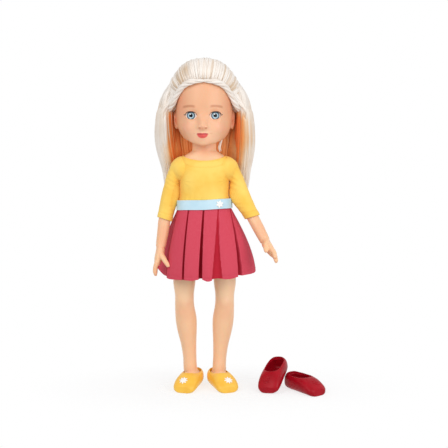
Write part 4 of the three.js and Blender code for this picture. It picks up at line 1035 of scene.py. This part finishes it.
def footSections(grow=0.0, drop=0.0):
    def sectionAt(share):
        ahead, wide, under, over = between(footStations, share)
        push = grow * max(-1, min(1, share * 8 - 4))
        return (Vector((0, -ahead - push, (under + over - drop) / 2)), Vector((wide + grow, 0, 0)),
                Vector((0, 0, (over - under + drop) / 2 + grow)))
    return sectionAt


def carried(piece, matrix):
    # moves a form that was built round the doll's origin, in millimetres
    for vertex in piece.data.vertices:
        vertex.co = spot(*(matrix @ inMm(vertex.co)))
    return piece


def toFoot(name, side):
    return (Matrix.Translation((side * feet[name]["ankle"], 1, 0))
            @ Matrix.Rotation(math.radians(side * feet[name]["toeOut"]), 4, "Z"))


for name, side in sidesOfDoll:
    heel = [feet[name]["ankle"] + 0.6, 1, 9, 6.2, 7.4]
    stations = [[side * x, y, z, wide, deep] for x, y, z, wide, deep in legStations + [heel]]
    limb = mouldedBall("limb", 60, 130, limbSections(stations))
    pulledTo(limb, [((side * 20.2, -10.6, 88), (0, -0.9, 0), 8), ((side * 20.2, -10, 79), (0, 0.5, 0), 5),
                    ((side * 14.6, -9, 84), (0, 0.6, 0), 5), ((side * 25.6, -9, 84), (0, 0.6, 0), 5),
                    ((side * 8.6, 0, 16), (-side * 0.5, 0, 0), 4),
                    ((side * 20.2, 0, 17), (side * 0.5, 0, 0), 4)])
    foot = carried(mouldedBall("foot", 48, 44, footSections(), square=2.5), toFoot(name, side))
    leg = fused("leg_" + name + "_vinyl", [limb, turnedForm("hipHead", hipProfile, hip, side), foot], 0.7, 5)
    finished(leg, vinylSkin, "leg_" + name, replaces=["leg_" + name])
print("body done")

# Cloth of the dress
# matt egg-yolk yellow with fine knit ribs; drawn at 0.5 mm, coarser than real
jersey, tree, shader = newMaterial("cottonJerseyKnit", finish={"Roughness": 0.85, "Sheen Weight": 0.15,
                                                               "Specular IOR Level": 0.2})
coords = addNode(tree, "TexCoord").outputs["Object"]
soft = addNode(tree, "TexNoise", inputs={"Vector": coords, "Scale": 60.0, "Detail": 3.0})
base = addNode(tree, "ValToRGB", inputs={"Fac": soft.outputs["Fac"]},
               stops=[(0.3, "#F8C654"), (0.65, "#FDD66C")])
# painted shade: darker towards the body's sides and on the sleeves' inner and under sides
fold = addNode(tree, "Attribute", {"attribute_name": "shade"}).outputs["Fac"]
setSockets(tree, shader, {"Base Color": paintOver(tree, base.outputs["Color"], fold, "#E79A28", 0.75)})
ribs = addNode(tree, "TexWave", {"wave_type": "BANDS", "bands_direction": "X"},
               {"Vector": coords, "Scale": 320.0, "Distortion": 1.2, "Detail": 1.0})
fuzz = addNode(tree, "TexNoise", inputs={"Vector": coords, "Scale": 1500.0, "Detail": 2.0})
knit = addNode(tree, "Math", {"operation": "ADD"}, {0: ribs.outputs["Fac"], 1: fuzz.outputs["Fac"]})
bump = addNode(tree, "Bump", inputs={"Height": knit.outputs[0], "Distance": 0.00008, "Strength": 0.5})
setSockets(tree, shader, {"Normal": bump.outputs[0]})
# twisted thread, a little glossier than the knit
thread = newMaterial("yellowSewingThread", finish={"Base Color": hexColor("#F4B63C"), "Roughness": 0.55})[0]


def stitchRow(name, path, spacing, length, material, body):
    # a row of machine stitches sunk halfway into the cloth, along a list of (point, outward) pairs
    radius = 0.13
    points, faces = [], []
    run, nextAt = 0.0, spacing
    for (here, out), (there, outThere) in zip(path, path[1:]):
        step = (there - here).length
        while run + step >= nextAt and step > 0:
            middle = here.lerp(there, (nextAt - run) / step)
            heading = (there - here).normalized()
            side = heading.cross(out).normalized()
            up = side.cross(heading)
            first = len(points)
            points.append(spot(*(middle - heading * length / 2)))
            for share in (-0.3, 0.3):
                for k in range(6):
                    turn = k * math.pi / 3
                    points.append(spot(*(middle + heading * (length * share)
                                         + side * (radius * math.cos(turn))
                                         + up * (radius * math.sin(turn)))))
            points.append(spot(*(middle + heading * length / 2)))
            for k in range(6):
                a, b = first + 1 + k, first + 1 + (k + 1) % 6
                faces += [(first, b, a), (a, b, b + 6, a + 6), (first + 13, a + 6, b + 6)]
            nextAt += spacing
        run += step
    piece = meshForm(name, points, faces)
    turnOutwards(piece)
    finished(piece, material, body)


def torsoAt(z):
    low, high = 0.0, 1.0
    for _ in range(30):
        middle = (low + high) / 2
        if between(torsoRings, middle)[0] < z:
            low = middle
        else:
            high = middle
    return between(torsoRings, (low + high) / 2)


def roundTorso(angle, z, grow, square=torsoSquare, ring=None):
    _, wide, front, back = ring or torsoAt(z)
    across, deep = math.cos(angle), math.sin(angle)
    bulge = (abs(across) ** square + abs(deep) ** square) ** (-1 / square)
    return Vector(((wide + grow) * across * bulge, (front + back) / 2
                   + ((back - front) / 2 + grow) * deep * bulge, z))


dress = {"waist": 181, "foot": 184, "beltHeight": 9.4, "neckline": 229, "dip": 4.4, "chord": 22.4,
         "reach": 26,
         "shoulders": 230.5, "band": 6.4, "ease": 1.15, "thickness": 0.0007}
dipRadius = (dress["chord"] ** 2 + dress["dip"] ** 2) / (2 * dress["dip"])


def necklineAt(x):
    return dress["neckline"] + dipRadius - math.sqrt(dipRadius ** 2 - min(abs(x), dress["reach"]) ** 2)


def creases(x, y, z):
    # soft folds that run from the armpits towards the breast and gather over the belt
    push = 0.0
    for side in (-1, 1):
        across, up = x - side * 21, z - 209
        far = math.hypot(across, up)
        turn = math.atan2(up, -side * across)
        push += 0.24 * math.exp(-far / 8) * math.sin(turn * 9 + 1.2) * min(1, far / 2)
    low = max(0, 1 - (z - 186) / 12)
    push += 0.28 * low * math.sin(math.atan2(y, x) * 22 + 1.5 * math.sin(math.atan2(y, x) * 5))
    return push + 0.12 * noise.noise(Vector((x, y, z)) * 0.11)


def bodiceOut(here):
    return Vector((here.x / 24 ** 2, (here.y + 0.5) / 15 ** 2, 0)).normalized()


def necklineRound(u):
    # the neckline's height at a share of the way round the body
    return necklineAt(roundTorso(2 * math.pi * u + math.pi / 2, dress["shoulders"], dress["ease"]).x)


def bodicePoint(u, v):
    angle = 2 * math.pi * u + math.pi / 2
    top = necklineRound(u)
    z = dress["foot"] * (1 - v) + top * v
    overBelt = clamp(1 - (z - 187) / 9) ** 1.5 * abs(math.cos(angle))
    here = roundTorso(angle, z, dress["ease"] + 2.7 * overBelt)
    belowEdge = (1 - v) * (top - dress["foot"])
    seam = -0.22 * math.exp(-((belowEdge - dress["band"]) / 0.45) ** 2)
    band = 0.25 if belowEdge < dress["band"] else 0.0
    return here + bodiceOut(here) * (creases(*here) * min(1, belowEdge / 5) + seam + band)


bodice = clothGrid("bodice_jersey", 220, 110, bodicePoint, closed=True)
# painted shade towards the body's sides
storeValues(bodice, "shade", [min(1, max(0, (abs(inMm(vertex.co).x) - 17) / 8) ** 1.5 * 0.8)
                              for vertex in bodice.data.vertices])
bodiceSheet = {"flat": flatSize(bodicePoint, 200, 0.8), "area": areaOf(bodice)}
thickened(bodice, dress["thickness"])
finished(bodice, jersey, "torso", replaces=["bodice"])
for label, below in (("edge", 1.1), ("band", dress["band"] + 0.7)):
    path = []
    for i in range(241):
        here = bodicePoint(i / 240, 1 - below / (necklineRound(i / 240) - dress["foot"]))
        path.append((here, bodiceOut(here)))
    stitchRow("bodice_stitches_" + label, path, 1.5, 1.05, thread, "torso")

# the closing strip down the back
placketFacts = {"low": 192, "high": 229.5, "halfTurn": 0.31, "length": 0.0376}


def placketPoint(u, v):
    angle = math.pi / 2 + (2 * u - 1) * placketFacts["halfTurn"]
    height = placketFacts["low"] + v * (placketFacts["high"] - placketFacts["low"])
    return roundTorso(angle, height, dress["ease"]) + Vector((0, 0.75, 0))


placket = clothGrid("back_placket_jersey", 12, 60, placketPoint)
thickened(placket, dress["thickness"], edgeWidth=0.0002)
finished(placket, jersey, "torso", replaces=["back_placket"])
print("bodice done")

# Sleeves: a shell over each arm, open at the armhole and the cuff
sleeveProfile = [[14, 2], [14, 11.2], [19, 12.4], [22.6, 12.9], [24.6, 12.5], [27, 11.5], [29.8, 9.5],
                 [32.4, 6.6], [34.2, 2.4], [34.6, 0.2]]
armholeRadius, overShoulder, hemHeight = 12.9, 12, 5
# how much fuller the cloth is beside the body, and at which height
fullness = {"right": (3.3, 194.5), "left": (4.6, 192.5)}
for name, side in sidesOfDoll:
    facts = arms[name]
    stations = [[side * x, y, z, wide, deep] for x, y, z, wide, deep in facts["stations"]][:7]
    upper = mouldedBall("upper", 60, 90, limbSections(stations, grow=1.55))
    dome = turnedForm("dome", sleeveProfile, shoulder, side, segments=60)
    sleeve = fused("sleeve_" + name + "_jersey", [upper, dome], 0.55, 9)
    lean = math.radians(facts["cuffLean"])
    cuff = spot(side * facts["cuff"][0], *facts["cuff"][1:])
    downwards = Vector((side * math.sin(lean), -0.12, -math.cos(lean))).normalized()
    selectOnly(sleeve)
    bpy.ops.object.mode_set(mode="EDIT")
    for place, away in ((cuff, downwards), (spot(side * 15, 0, 0), (-side, 0, 0))):
        bpy.ops.mesh.select_all(action="SELECT")
        bpy.ops.mesh.bisect(plane_co=place, plane_no=away, clear_outer=True)
    bpy.ops.object.mode_set(mode="OBJECT")
    elbow = Vector(between(stations, 0.62)[:3])
    most, height = fullness[name]
    shades = []
    for vertex in sleeve.data.vertices:
        here = inMm(vertex.co)
        fromCuff = -(vertex.co - cuff).dot(downwards) * 1000
        out = vertex.normal.copy()
        inner = max(0, -side * out.x)
        far = here - elbow
        fold = 0.2 * math.exp(-(far.z / 9) ** 2) * inner * math.sin(far.z * 1.5 + here.y * 0.12)
        pit = here - Vector((side * 29, 0, 207))
        fold += 0.5 * math.exp(-(pit.length / 9) ** 2) * math.sin(pit.z * 1.25 + pit.x * 0.8)
        fold += 0.25 * noise.noise(here * 0.13)
        seam = -0.2 * math.exp(-((fromCuff - hemHeight) / 0.45) ** 2) + (0.2 if fromCuff < hemHeight else 0)
        vertex.co += out * ((fold * min(1, fromCuff / 6) + seam) / 1000)
        run = clamp((here.z - 163) / 60)
        towardsBody = max(0, (between(stations, 1 - run)[0] - here.x) * side / 7)
        vertex.co.x -= side * most * min(1, towardsBody) ** 1.5 * math.exp(-((here.z - height)
                                                                             / 12) ** 2) / 1000
        # painted shade on the side towards the body and on the underside
        shades.append(min(1, 0.55 * inner ** 2 + 0.25 * max(0, -out.z)))
    storeValues(sleeve, "shade", shades)
    arm = [Vector(station[:3]) for station in stations]
    length = sum((b - a).length for a, b in zip(arm, arm[1:])) - (arm[-1] - inMm(cuff)).length + overShoulder
    thickened(sleeve, dress["thickness"])
    finished(sleeve, jersey, ("torso", "arm_" + name, spot(side * 17.5, 0, 220), spot(side * 23.5, 0, 220)),
             replaces=["sleeve_" + name])
    # the hem's stitches run round the arm, a little way above the cuff
    across = downwards.cross(Vector((0, 1, 0))).normalized()
    deep = downwards.cross(across)
    centre = inMm(cuff) - downwards * (hemHeight + 0.6)
    path = []
    for i in range(61):
        turn = 2 * math.pi * i / 60
        direction = across * math.cos(turn) + deep * math.sin(turn)
        hit, where, normal, index = sleeve.ray_cast(spot(*(centre + direction * 20)), -direction)
        if hit:
            path.append((inMm(where), direction))
    stitchRow("sleeve_stitches_" + name, path, 1.5, 1.05, thread, "arm_" + name)
print("sleeves done")

# Belt: a flat ribbon, a little higher on the doll's left, with a felt flower
# pale blue with the weave's low sheen and fine cross ribs
ribbon, tree, shader = newMaterial("grosgrainRibbon", finish={"Roughness": 0.55, "Specular IOR Level": 0.3})
coords = addNode(tree, "TexCoord").outputs["Object"]
weave = addNode(tree, "TexWave", {"wave_type": "BANDS", "bands_direction": "Z"},
                {"Vector": coords, "Scale": 520.0, "Distortion": 0.4})
cloudy = addNode(tree, "TexNoise", inputs={"Vector": coords, "Scale": 90.0, "Detail": 2.0})
base = addNode(tree, "ValToRGB", inputs={"Fac": cloudy.outputs["Fac"]},
               stops=[(0.3, "#BBDCEC"), (0.7, "#CCE8F5")])
setSockets(tree, shader, {"Base Color": base.outputs["Color"]})
bump = addNode(tree, "Bump", inputs={"Height": weave.outputs["Fac"], "Distance": 0.00005, "Strength": 0.5})
setSockets(tree, shader, {"Normal": bump.outputs[0]})

# matt white with short fibres
felt, tree, shader = newMaterial("whiteWoolFelt", finish={"Base Color": hexColor("#FBFAF6"), "Roughness": 0.9,
                                                          "Sheen Weight": 0.2})
coords = addNode(tree, "TexCoord").outputs["Object"]
fuzz = addNode(tree, "TexNoise", inputs={"Vector": coords, "Scale": 1900.0, "Detail": 3.0})
bump = addNode(tree, "Bump", inputs={"Height": fuzz.outputs["Fac"], "Distance": 0.00012, "Strength": 0.6})
setSockets(tree, shader, {"Normal": bump.outputs[0]})

# the ribbon lies over the body's widest place behind it
reach = [torsoAt(dress["waist"] + dress["beltHeight"] * k) for k in (-0.3, 0, 1)]
beltRing = [0, max(r[1] for r in reach) + 1.4, min(r[2] for r in reach), max(r[3] for r in reach)]
beltGrow = 2.4
beltSlope = math.tan(math.radians(2.1))


def beltPoint(u, v):
    angle = 2 * math.pi * u + math.pi / 2
    here = roundTorso(angle, 0, beltGrow, ring=beltRing)
    ripple = 0.12 * math.sin(angle * 3 + 1) + 0.1 * math.sin(angle * 7)
    edge = 0.2 * max(0, abs(v - 0.5) * 2 - 0.86) / 0.14
    out = Vector((here.x / 25 ** 2, here.y / 15 ** 2, 0)).normalized()
    here += out * (ripple * 0.5 + edge)
    here.z = dress["waist"] + v * dress["beltHeight"] + here.x * beltSlope + 0.15 * math.sin(angle * 5)
    return here


belt = clothGrid("belt_ribbon", 200, 24, beltPoint, closed=True)
thickened(belt, 0.0009, edgeWidth=0.0002)
finished(belt, ribbon, "torso", replaces=["belt"], angle=50)


def feltFlower(name, petals, radius, thick, petalWide):
    # petals laid round a small raised centre, in the flat, in millimetres
    def petalSection(share):
        return (Vector((radius * (0.08 + 0.92 * share), 0, 0)),
                Vector((0, petalWide * math.sin(math.pi * share ** 0.8) ** 0.8 + 0.02, 0)),
                Vector((0, 0, thick / 2 * (0.5 + 0.5 * math.sin(math.pi * share)))))

    def buttonSection(share):
        half = radius * 0.26 * math.sin(math.pi * share) + 0.01
        return Vector((0, 0, (share - 0.5) * thick * 1.7)), Vector((half, 0, 0)), Vector((0, half, 0))

    parts = []
    for k in range(petals):
        petal = mouldedBall("petal", 20, 16, petalSection)
        parts.append(carried(petal, Matrix.Rotation(2 * math.pi * k / petals, 4, "Z")))
    return joined(name, parts + [mouldedBall("button", 24, 14, buttonSection)])


flowerPlace = {"x": 15.4, "raised": 0.6, "sunk": 0.55}
beltFront = (roundTorso(-math.pi / 2 + k * 0.02, 0, beltGrow, ring=beltRing) for k in range(60))
flowerY = min(beltFront, key=lambda point: abs(point.x - flowerPlace["x"])).y - flowerPlace["sunk"]
flowerZ = dress["waist"] + dress["beltHeight"] / 2 + flowerPlace["raised"]
beltFlower = feltFlower("belt_flower_felt", 6, 3.9, 0.9, 1.15)
carried(beltFlower, Matrix.Translation((flowerPlace["x"], flowerY, flowerZ))
        @ Matrix.Rotation(math.radians(13), 4, "Z") @ Matrix.Rotation(math.radians(90), 4, "X")
        @ Matrix.Rotation(math.radians(20), 4, "Z"))
turnOutwards(beltFlower)
finished(beltFlower, felt, "torso", replaces=["belt_flower"])
print("belt done")

# Skirt: pleats pressed in from the waist, drawn from the hem seen from above as [x, y, z]
# The points lie by turns in a pleat's groove and in the middle of the panel after it.
hemPoints = [[-3.2, -33, 114], [4, -34.5, 112.5], [12.4, -33.5, 114.5], [24, -32, 114.5], [35.5, -27, 116.5],
             [46, -16, 117.5], [51.5, 2, 117], [49.5, 15, 116.5], [41, 29, 116], [27, 36, 115.5],
             [2, 38.5, 115], [-16, 39.5, 115], [-33, 35.5, 115], [-45.5, 28, 115.5], [-48, 15, 118],
             [-42, 5, 114], [-38, -7, 113.5], [-34.5, -20, 113], [-20.5, -30.5, 113], [-12.5, -32.5, 113]]
waistAngles = [-90.6, -58.8, -19.2, 16, 53, 90, 127, 164, 199, 236.5, 269.4]
grooveHalf = [0.11, 0.25, 0.09, 0.09, 0.09, 0.08, 0.09, 0.1, 0.07, 0.05]
pleatOpens = [0.9, 1.7, 0.8, 0.9, 0.9, 0.9, 0.9, 0.9, 0.9, 0.9]
pleatDepth = [7.5, 4.5, 9, 6, 6, 6, 6, 6, 6, 6]
pleatCount = len(grooveHalf)
# from this share of an opening's half width outwards, the cloth is the pleat's wall
foldWall = 0.62


def hemAt(u):
    # a closed smooth curve through the hem's points; u counts pleats
    at = (u / pleatCount % 1) * len(hemPoints)
    i = int(at) % len(hemPoints)
    rows = (hemPoints[(i + k) % len(hemPoints)] for k in (-1, 0, 1, 2))
    return Vector([curveAt(*values, at - int(at)) for values in zip(*rows)])


def panelPoint(u, v):
    first = max(0, min(math.floor(u), pleatCount - 1))
    angle = math.radians(waistAngles[first] + (waistAngles[first + 1] - waistAngles[first]) * (u - first))
    waist = roundTorso(angle, dress["waist"] + 1.5, 0.7, ring=beltRing)
    hem = hemAt(u)
    flare = 1 - (1 - v) ** 1.55
    z = waist.z * (1 - v) + hem.z * v
    return Vector((waist.x + (hem.x - waist.x) * flare, waist.y + (hem.y - waist.y) * flare, z))


def grooveSpread(groove, v):
    # half the width of a pleat's opening, in pleats; it widens from the waist to the hem
    return 0.05 + (grooveHalf[groove % pleatCount] - 0.05) * v ** pleatOpens[groove % pleatCount]


def skirtPoint(u, v):
    groove = round(u)
    spread = grooveSpread(groove, v)
    s = (u - groove) / spread
    near = abs(s)
    if near >= 1:
        # on a panel, which stands out a little in its middle and lifts at the hem
        across = (abs(u - groove) - spread) / max(0.5 - spread, 0.01)
        share = -0.09 * math.sin(min(across, 1) * math.pi / 2) * v
        here = panelPoint(u, v)
        lift = 0.175 * v * math.sin(u * 2 * math.pi + 0.8)
    else:
        # across the fold: the wall turns in under the panel's edge before it reaches the pleat's floor
        if near > foldWall:
            into = (1 - near) / (1 - foldWall)
            share = into * into * (3 - 2 * into)
            lateral = math.copysign(1 + 0.32 * math.sin(into * math.pi * 0.9), s)
        else:
            share = 1 - 0.06 * (near / foldWall) ** 2
            lateral = math.copysign(1.15 * near / foldWall, s)
        here = panelPoint(groove + lateral * spread, v)
        lift = 0
    inward = Vector((-here.x, -here.y, 0)).normalized()
    turn = 2 * math.pi * u / pleatCount
    billow = 0.5 * v * noise.noise(Vector((math.cos(turn) * 2.4, math.sin(turn) * 2.4, v * 1.6)))
    depth = 0.9 + (pleatDepth[groove % pleatCount] - 0.9) * v ** 0.85
    return here + inward * (depth * share + billow) + Vector((0, 0, lift))


# raspberry red with paler threads on a fine diagonal, drawn at 0.7 mm
twill, tree, shader = newMaterial("heatheredCottonTwill",
                                  finish={"Roughness": 0.8, "Specular IOR Level": 0.2})
cloth = addNode(tree, "UVMap", {"uv_map": "UVMap"}).outputs["UV"]
sized = addNode(tree, "VectorMath", {"operation": "MULTIPLY"}, {0: cloth, 1: (200, 68, 1)}).outputs[0]
diagonal = addNode(tree, "TexWave", {"wave_type": "BANDS", "bands_direction": "DIAGONAL"},
                   {"Vector": sized, "Scale": 0.7, "Distortion": 2.0, "Detail": 2.0, "Detail Scale": 1.5})
fleck = addNode(tree, "TexNoise", inputs={"Vector": sized, "Scale": 1.7, "Detail": 4.0, "Roughness": 0.75})
threads = addNode(tree, "Math", {"operation": "MULTIPLY_ADD"},
                  {0: diagonal.outputs["Fac"], 1: 0.25, 2: fleck.outputs["Fac"]}).outputs[0]
base = addNode(tree, "ValToRGB", inputs={"Fac": threads},
               stops=[(0.36, "#A81E35"), (0.6, "#CF3B50"), (0.84, "#E66F80")]).outputs["Color"]
# painted shade in the pleats' grooves, darkest deep inside them
within = addNode(tree, "Attribute", {"attribute_name": "shade"}).outputs["Fac"]
for start, end, code, strength in ((0.0, 0.5, "#C4162F", 0.9), (0.5, 1.0, "#860E20", 0.6)):
    deeper = addNode(tree, "MapRange", inputs={"Value": within, "From Min": start, "From Max": end})
    base = paintOver(tree, base, deeper.outputs["Result"], code, strength)
setSockets(tree, shader, {"Base Color": base})
bump = addNode(tree, "Bump", inputs={"Height": threads, "Distance": 0.00012, "Strength": 0.5})
setSockets(tree, shader, {"Normal": bump.outputs[0]})
# twisted thread, a little glossier than the twill
redThread = newMaterial("redSewingThread", finish={"Base Color": hexColor("#B8334A"), "Roughness": 0.55})[0]


def columnsOf(start, count):
    # columns of the grid stand close together in the folds and wider apart on the panels
    places = []
    for groove in range(start, start + count):
        here, after = grooveHalf[groove % pleatCount], grooveHalf[(groove + 1) % pleatCount]
        places += [groove + here * k / 9 for k in range(10)]
        places += [groove + here + (1 - here - after) * k / 12 for k in range(1, 12)]
        places += [groove + 1 - after * (9 - k) / 9 for k in range(0, 9)]
    return places + [start + count]


for name, side in sidesOfDoll:
    places = columnsOf(0 if side > 0 else pleatCount // 2, pleatCount // 2)
    count = len(places) - 1
    # the halves overlap a little at the front and the back
    places[0] -= 0.012
    places[-1] += 0.012

    def halfPoint(u, v):
        at = min(u, 1) * count
        i = min(int(at + 1e-6), count - 1)
        place = places[i] + (places[i + 1] - places[i]) * (at - i)
        return skirtPoint(place, 1 - v)

    skirt = clothGrid("skirt_" + name + "_twill", count, 56, halfPoint)
    # painted shade across each pleat's groove
    shades = [0.0] * len(skirt.data.vertices)
    for loop in skirt.data.loops:
        u, v = skirt.data.uv_layers[0].data[loop.index].uv
        place = places[min(round(u * count), count)]
        groove = round(place)
        inside = 1 - abs(place - groove) / grooveSpread(groove, 1 - v)
        shades[loop.vertex_index] = max(0.0, min(0.45 if groove % pleatCount == 1 else 1.0, inside * 2.4))
    storeValues(skirt, "shade", shades)
    flat = flatSize(halfPoint, 600, 0.0)
    thickened(skirt, 0.0006)
    overThigh = ("torso", "leg_" + name, spot(0, 0, 175), spot(0, 0, 140))
    finished(skirt, twill, overThigh, replaces=["skirt_" + name], angle=60)
    path = []
    for k in range(1201):
        here = halfPoint(k / 1200, 0.055)
        out = Vector((here.x, here.y, 0)).normalized()
        path.append((here + out * 0.05, out))
    stitchRow("skirt_hem_stitches_" + name, path, 1.7, 1.2, redThread, overThigh)
print("skirt done")

# Shoes: moulded ballet flats, each with a felt daisy
shoeVinyls = {}
for name, finish, cloudScale, low, high, grainScale, depth, strength in (
        # satin plastic, bright where it curves to the light
        ("slushMouldedYellowVinyl", {"Roughness": 0.42}, 90.0, "#F9BC3C", "#FFCE50", 1500.0, 0.05, 0.35),
        # deep red satin plastic with soft long highlights
        ("slushMouldedCrimsonVinyl", {"Roughness": 0.36, "Specular IOR Level": 0.16}, 70.0, "#980718",
         "#AE0C20",
         1300.0, 0.06, 0.4)):
    shoeVinyls[name], tree, shader = newMaterial(name, finish=finish)
    coords = addNode(tree, "TexCoord").outputs["Object"]
    cloudy = addNode(tree, "TexNoise", inputs={"Vector": coords, "Scale": cloudScale, "Detail": 2.0})
    base = addNode(tree, "ValToRGB", inputs={"Fac": cloudy.outputs["Fac"]}, stops=[(0.3, low), (0.7, high)])
    setSockets(tree, shader, {"Base Color": base.outputs["Color"]})
    grain = addNode(tree, "TexNoise", inputs={"Vector": coords, "Scale": grainScale})
    bump = addNode(tree, "Bump", inputs={"Height": grain.outputs["Fac"], "Distance": depth / 1000,
                                         "Strength": strength})
    setSockets(tree, shader, {"Normal": bump.outputs[0]})

shoeFacts = {"wall": 1.7, "gap": 0.3, "sole": 1.9, "mouthAhead": 0.8, "mouthHalf": 11.8,
             "mouthHalfWidth": 8.2}


def shoeForm(longer=0.0):
    def mouthSection(share):
        return (Vector((0, -shoeFacts["mouthAhead"] - longer * 0.6, shoeFacts["sole"] + 5 + 36 * share)),
                Vector((shoeFacts["mouthHalfWidth"], 0, 0)), Vector((0, shoeFacts["mouthHalf"] + longer, 0)))

    grow, drop = shoeFacts["wall"] + shoeFacts["gap"], shoeFacts["sole"] / 2
    outside = mouldedBall("shoe", 72, 80, footSections(grow, drop), square=2.5)
    for vertex in outside.data.vertices:
        vertex.co.z = max(vertex.co.z, 0.0)
    turnOutwards(outside)
    inside = mouldedBall("last", 64, 70, footSections(shoeFacts["gap"]), square=2.5)
    cutBy(outside, inside, mouldedBall("mouth", 64, 6, mouthSection, square=2.8))
    outside = fused("shoe", [outside], 0.42, 3)
    for vertex in outside.data.vertices:
        vertex.co.z = max(vertex.co.z, 0.0)
    return outside


def laidOnShoe(flower, shoe, place, aside, ahead, lift=0.3):
    # presses a flat flower onto the shoe's upper, met from above and in front
    towards = (place.to_3x3() @ Vector((0, 0.6, -1))).normalized()
    aim = place @ Vector((aside, -ahead, 9))
    hit, where, normal, index = shoe.ray_cast(spot(*(aim - towards * 30)), towards)
    up = normal.normalized()
    across = place.to_3x3() @ Vector((1, 0, 0))
    across = (across - up * across.dot(up)).normalized()
    seat = Matrix.Translation(inMm(where)) @ Matrix((across, up.cross(across), up)).transposed().to_4x4()
    for vertex in flower.data.vertices:
        x, y, z = inMm(vertex.co)
        hit, where, normal, index = shoe.ray_cast(spot(*(seat @ Vector((x, y, 6)))), -up)
        under = inMm(where) if hit else seat @ Vector((x, y, -1))
        vertex.co = spot(*(under + up * (z + lift)))
    turnOutwards(flower)
    return flower


spares = {"left": {"at": (94.2, -13.4, 0), "turn": 38, "pitch": 0, "roll": 0},
          "right": {"at": (74.2, -4, 10.9), "turn": -23, "pitch": 20, "roll": -6}}
for name, side in sidesOfDoll:
    shoe = carried(shoeForm(), toFoot(name, side))
    shoe.name = "shoe_" + name + "_vinyl"
    finished(shoe, shoeVinyls["slushMouldedYellowVinyl"], "shoe_" + name, replaces=["shoe_" + name])
    daisy = feltFlower("shoe_daisy_" + name, 8, 4.6, 0.9, 0.9)
    laidOnShoe(daisy, shoe, toFoot(name, side), side * 1.4, 23)
    finished(daisy, felt, "shoe_" + name, replaces=["shoe_flower_" + name])
    place = Matrix.Translation(spares[name]["at"])
    for key, axis in (("turn", "Z"), ("pitch", "X"), ("roll", "Y")):
        place = place @ Matrix.Rotation(math.radians(spares[name][key]), 4, axis)
    spare = shoeForm(longer=1.4)
    relief = laidOnShoe(feltFlower("relief", 8, 4.6, 1.3, 1.0), spare, Matrix.Identity(4), side * 1.6, 22,
                        lift=-0.15)
    spare = carried(joined("spare_shoe_" + name + "_vinyl", [spare, relief]), place)
    turnOutwards(spare)
    finished(spare, shoeVinyls["slushMouldedCrimsonVinyl"], "spare_shoe_" + name,
             replaces=["spare_shoe_" + name])
print("shoes done")

# Studio: plain soft light, and a white floor and backdrop
world = bpy.data.worlds.new("studio")
bpy.context.scene.world = world
world.use_nodes = True
tree = world.node_tree
tree.nodes.clear()
path = addNode(tree, "LightPath").outputs
seen = addNode(tree, "Math", {"operation": "MAXIMUM"}, {0: path["Is Camera Ray"], 1: path["Is Glossy Ray"]})
seen = addNode(tree, "Math", {"operation": "MAXIMUM"}, {0: seen.outputs[0], 1: path["Is Transmission Ray"]})
fill = addNode(tree, "Background", inputs={"Color": hexColor("#FFFFFF"), "Strength": 0.62})
backdrop = addNode(tree, "Background", inputs={"Color": hexColor("#FFFFFF"), "Strength": 1.0})
chosen = addNode(tree, "MixShader", inputs={0: seen.outputs[0], 1: fill.outputs[0], 2: backdrop.outputs[0]})
addNode(tree, "OutputWorld", inputs={"Surface": chosen.outputs[0]})
lamps = {"key": {"place": (-420, -620, 620), "power": 2.35},
         "fill": {"place": (520, -560, 420), "power": 2.45}}
for name, facts in lamps.items():
    where = spot(*facts["place"])
    turn = (spot(5, 0, 190) - where).to_track_quat("-Z", "Y").to_euler()
    bpy.ops.object.light_add(type="AREA", location=where, rotation=turn)
    lamp = bpy.context.object
    lamp.name = "lamp_" + name
    lamp.data.energy = facts["power"]
    lamp.data.size = 0.5
floor = newForm(bpy.ops.mesh.primitive_plane_add, "studio_floor", size=8, location=(0, 0, 0))
# white sweep; it thins out into the white behind it
floorPaper, tree, shader = newMaterial("whiteBackdropPaper", finish={
    "Base Color": hexColor("#FFFFFF"), "Roughness": 0.9, "Specular IOR Level": 0.0})
coords = addNode(tree, "TexCoord").outputs["Object"]
nearDoll = blotMask(tree, coords, (20, -10, 0), (220, 110, 100), 0.2)
share = addNode(tree, "Math", {"operation": "MULTIPLY"}, {0: nearDoll, 1: 0.26})
clear = addNode(tree, "BsdfTransparent")
thinned = addNode(tree, "MixShader", inputs={0: share.outputs[0], 1: clear.outputs[0], 2: shader.outputs[0]})
setSockets(tree, tree.nodes["Material Output"], {"Surface": thinned.outputs[0]})
floor.data.materials.append(floorPaper)
print("studio done")
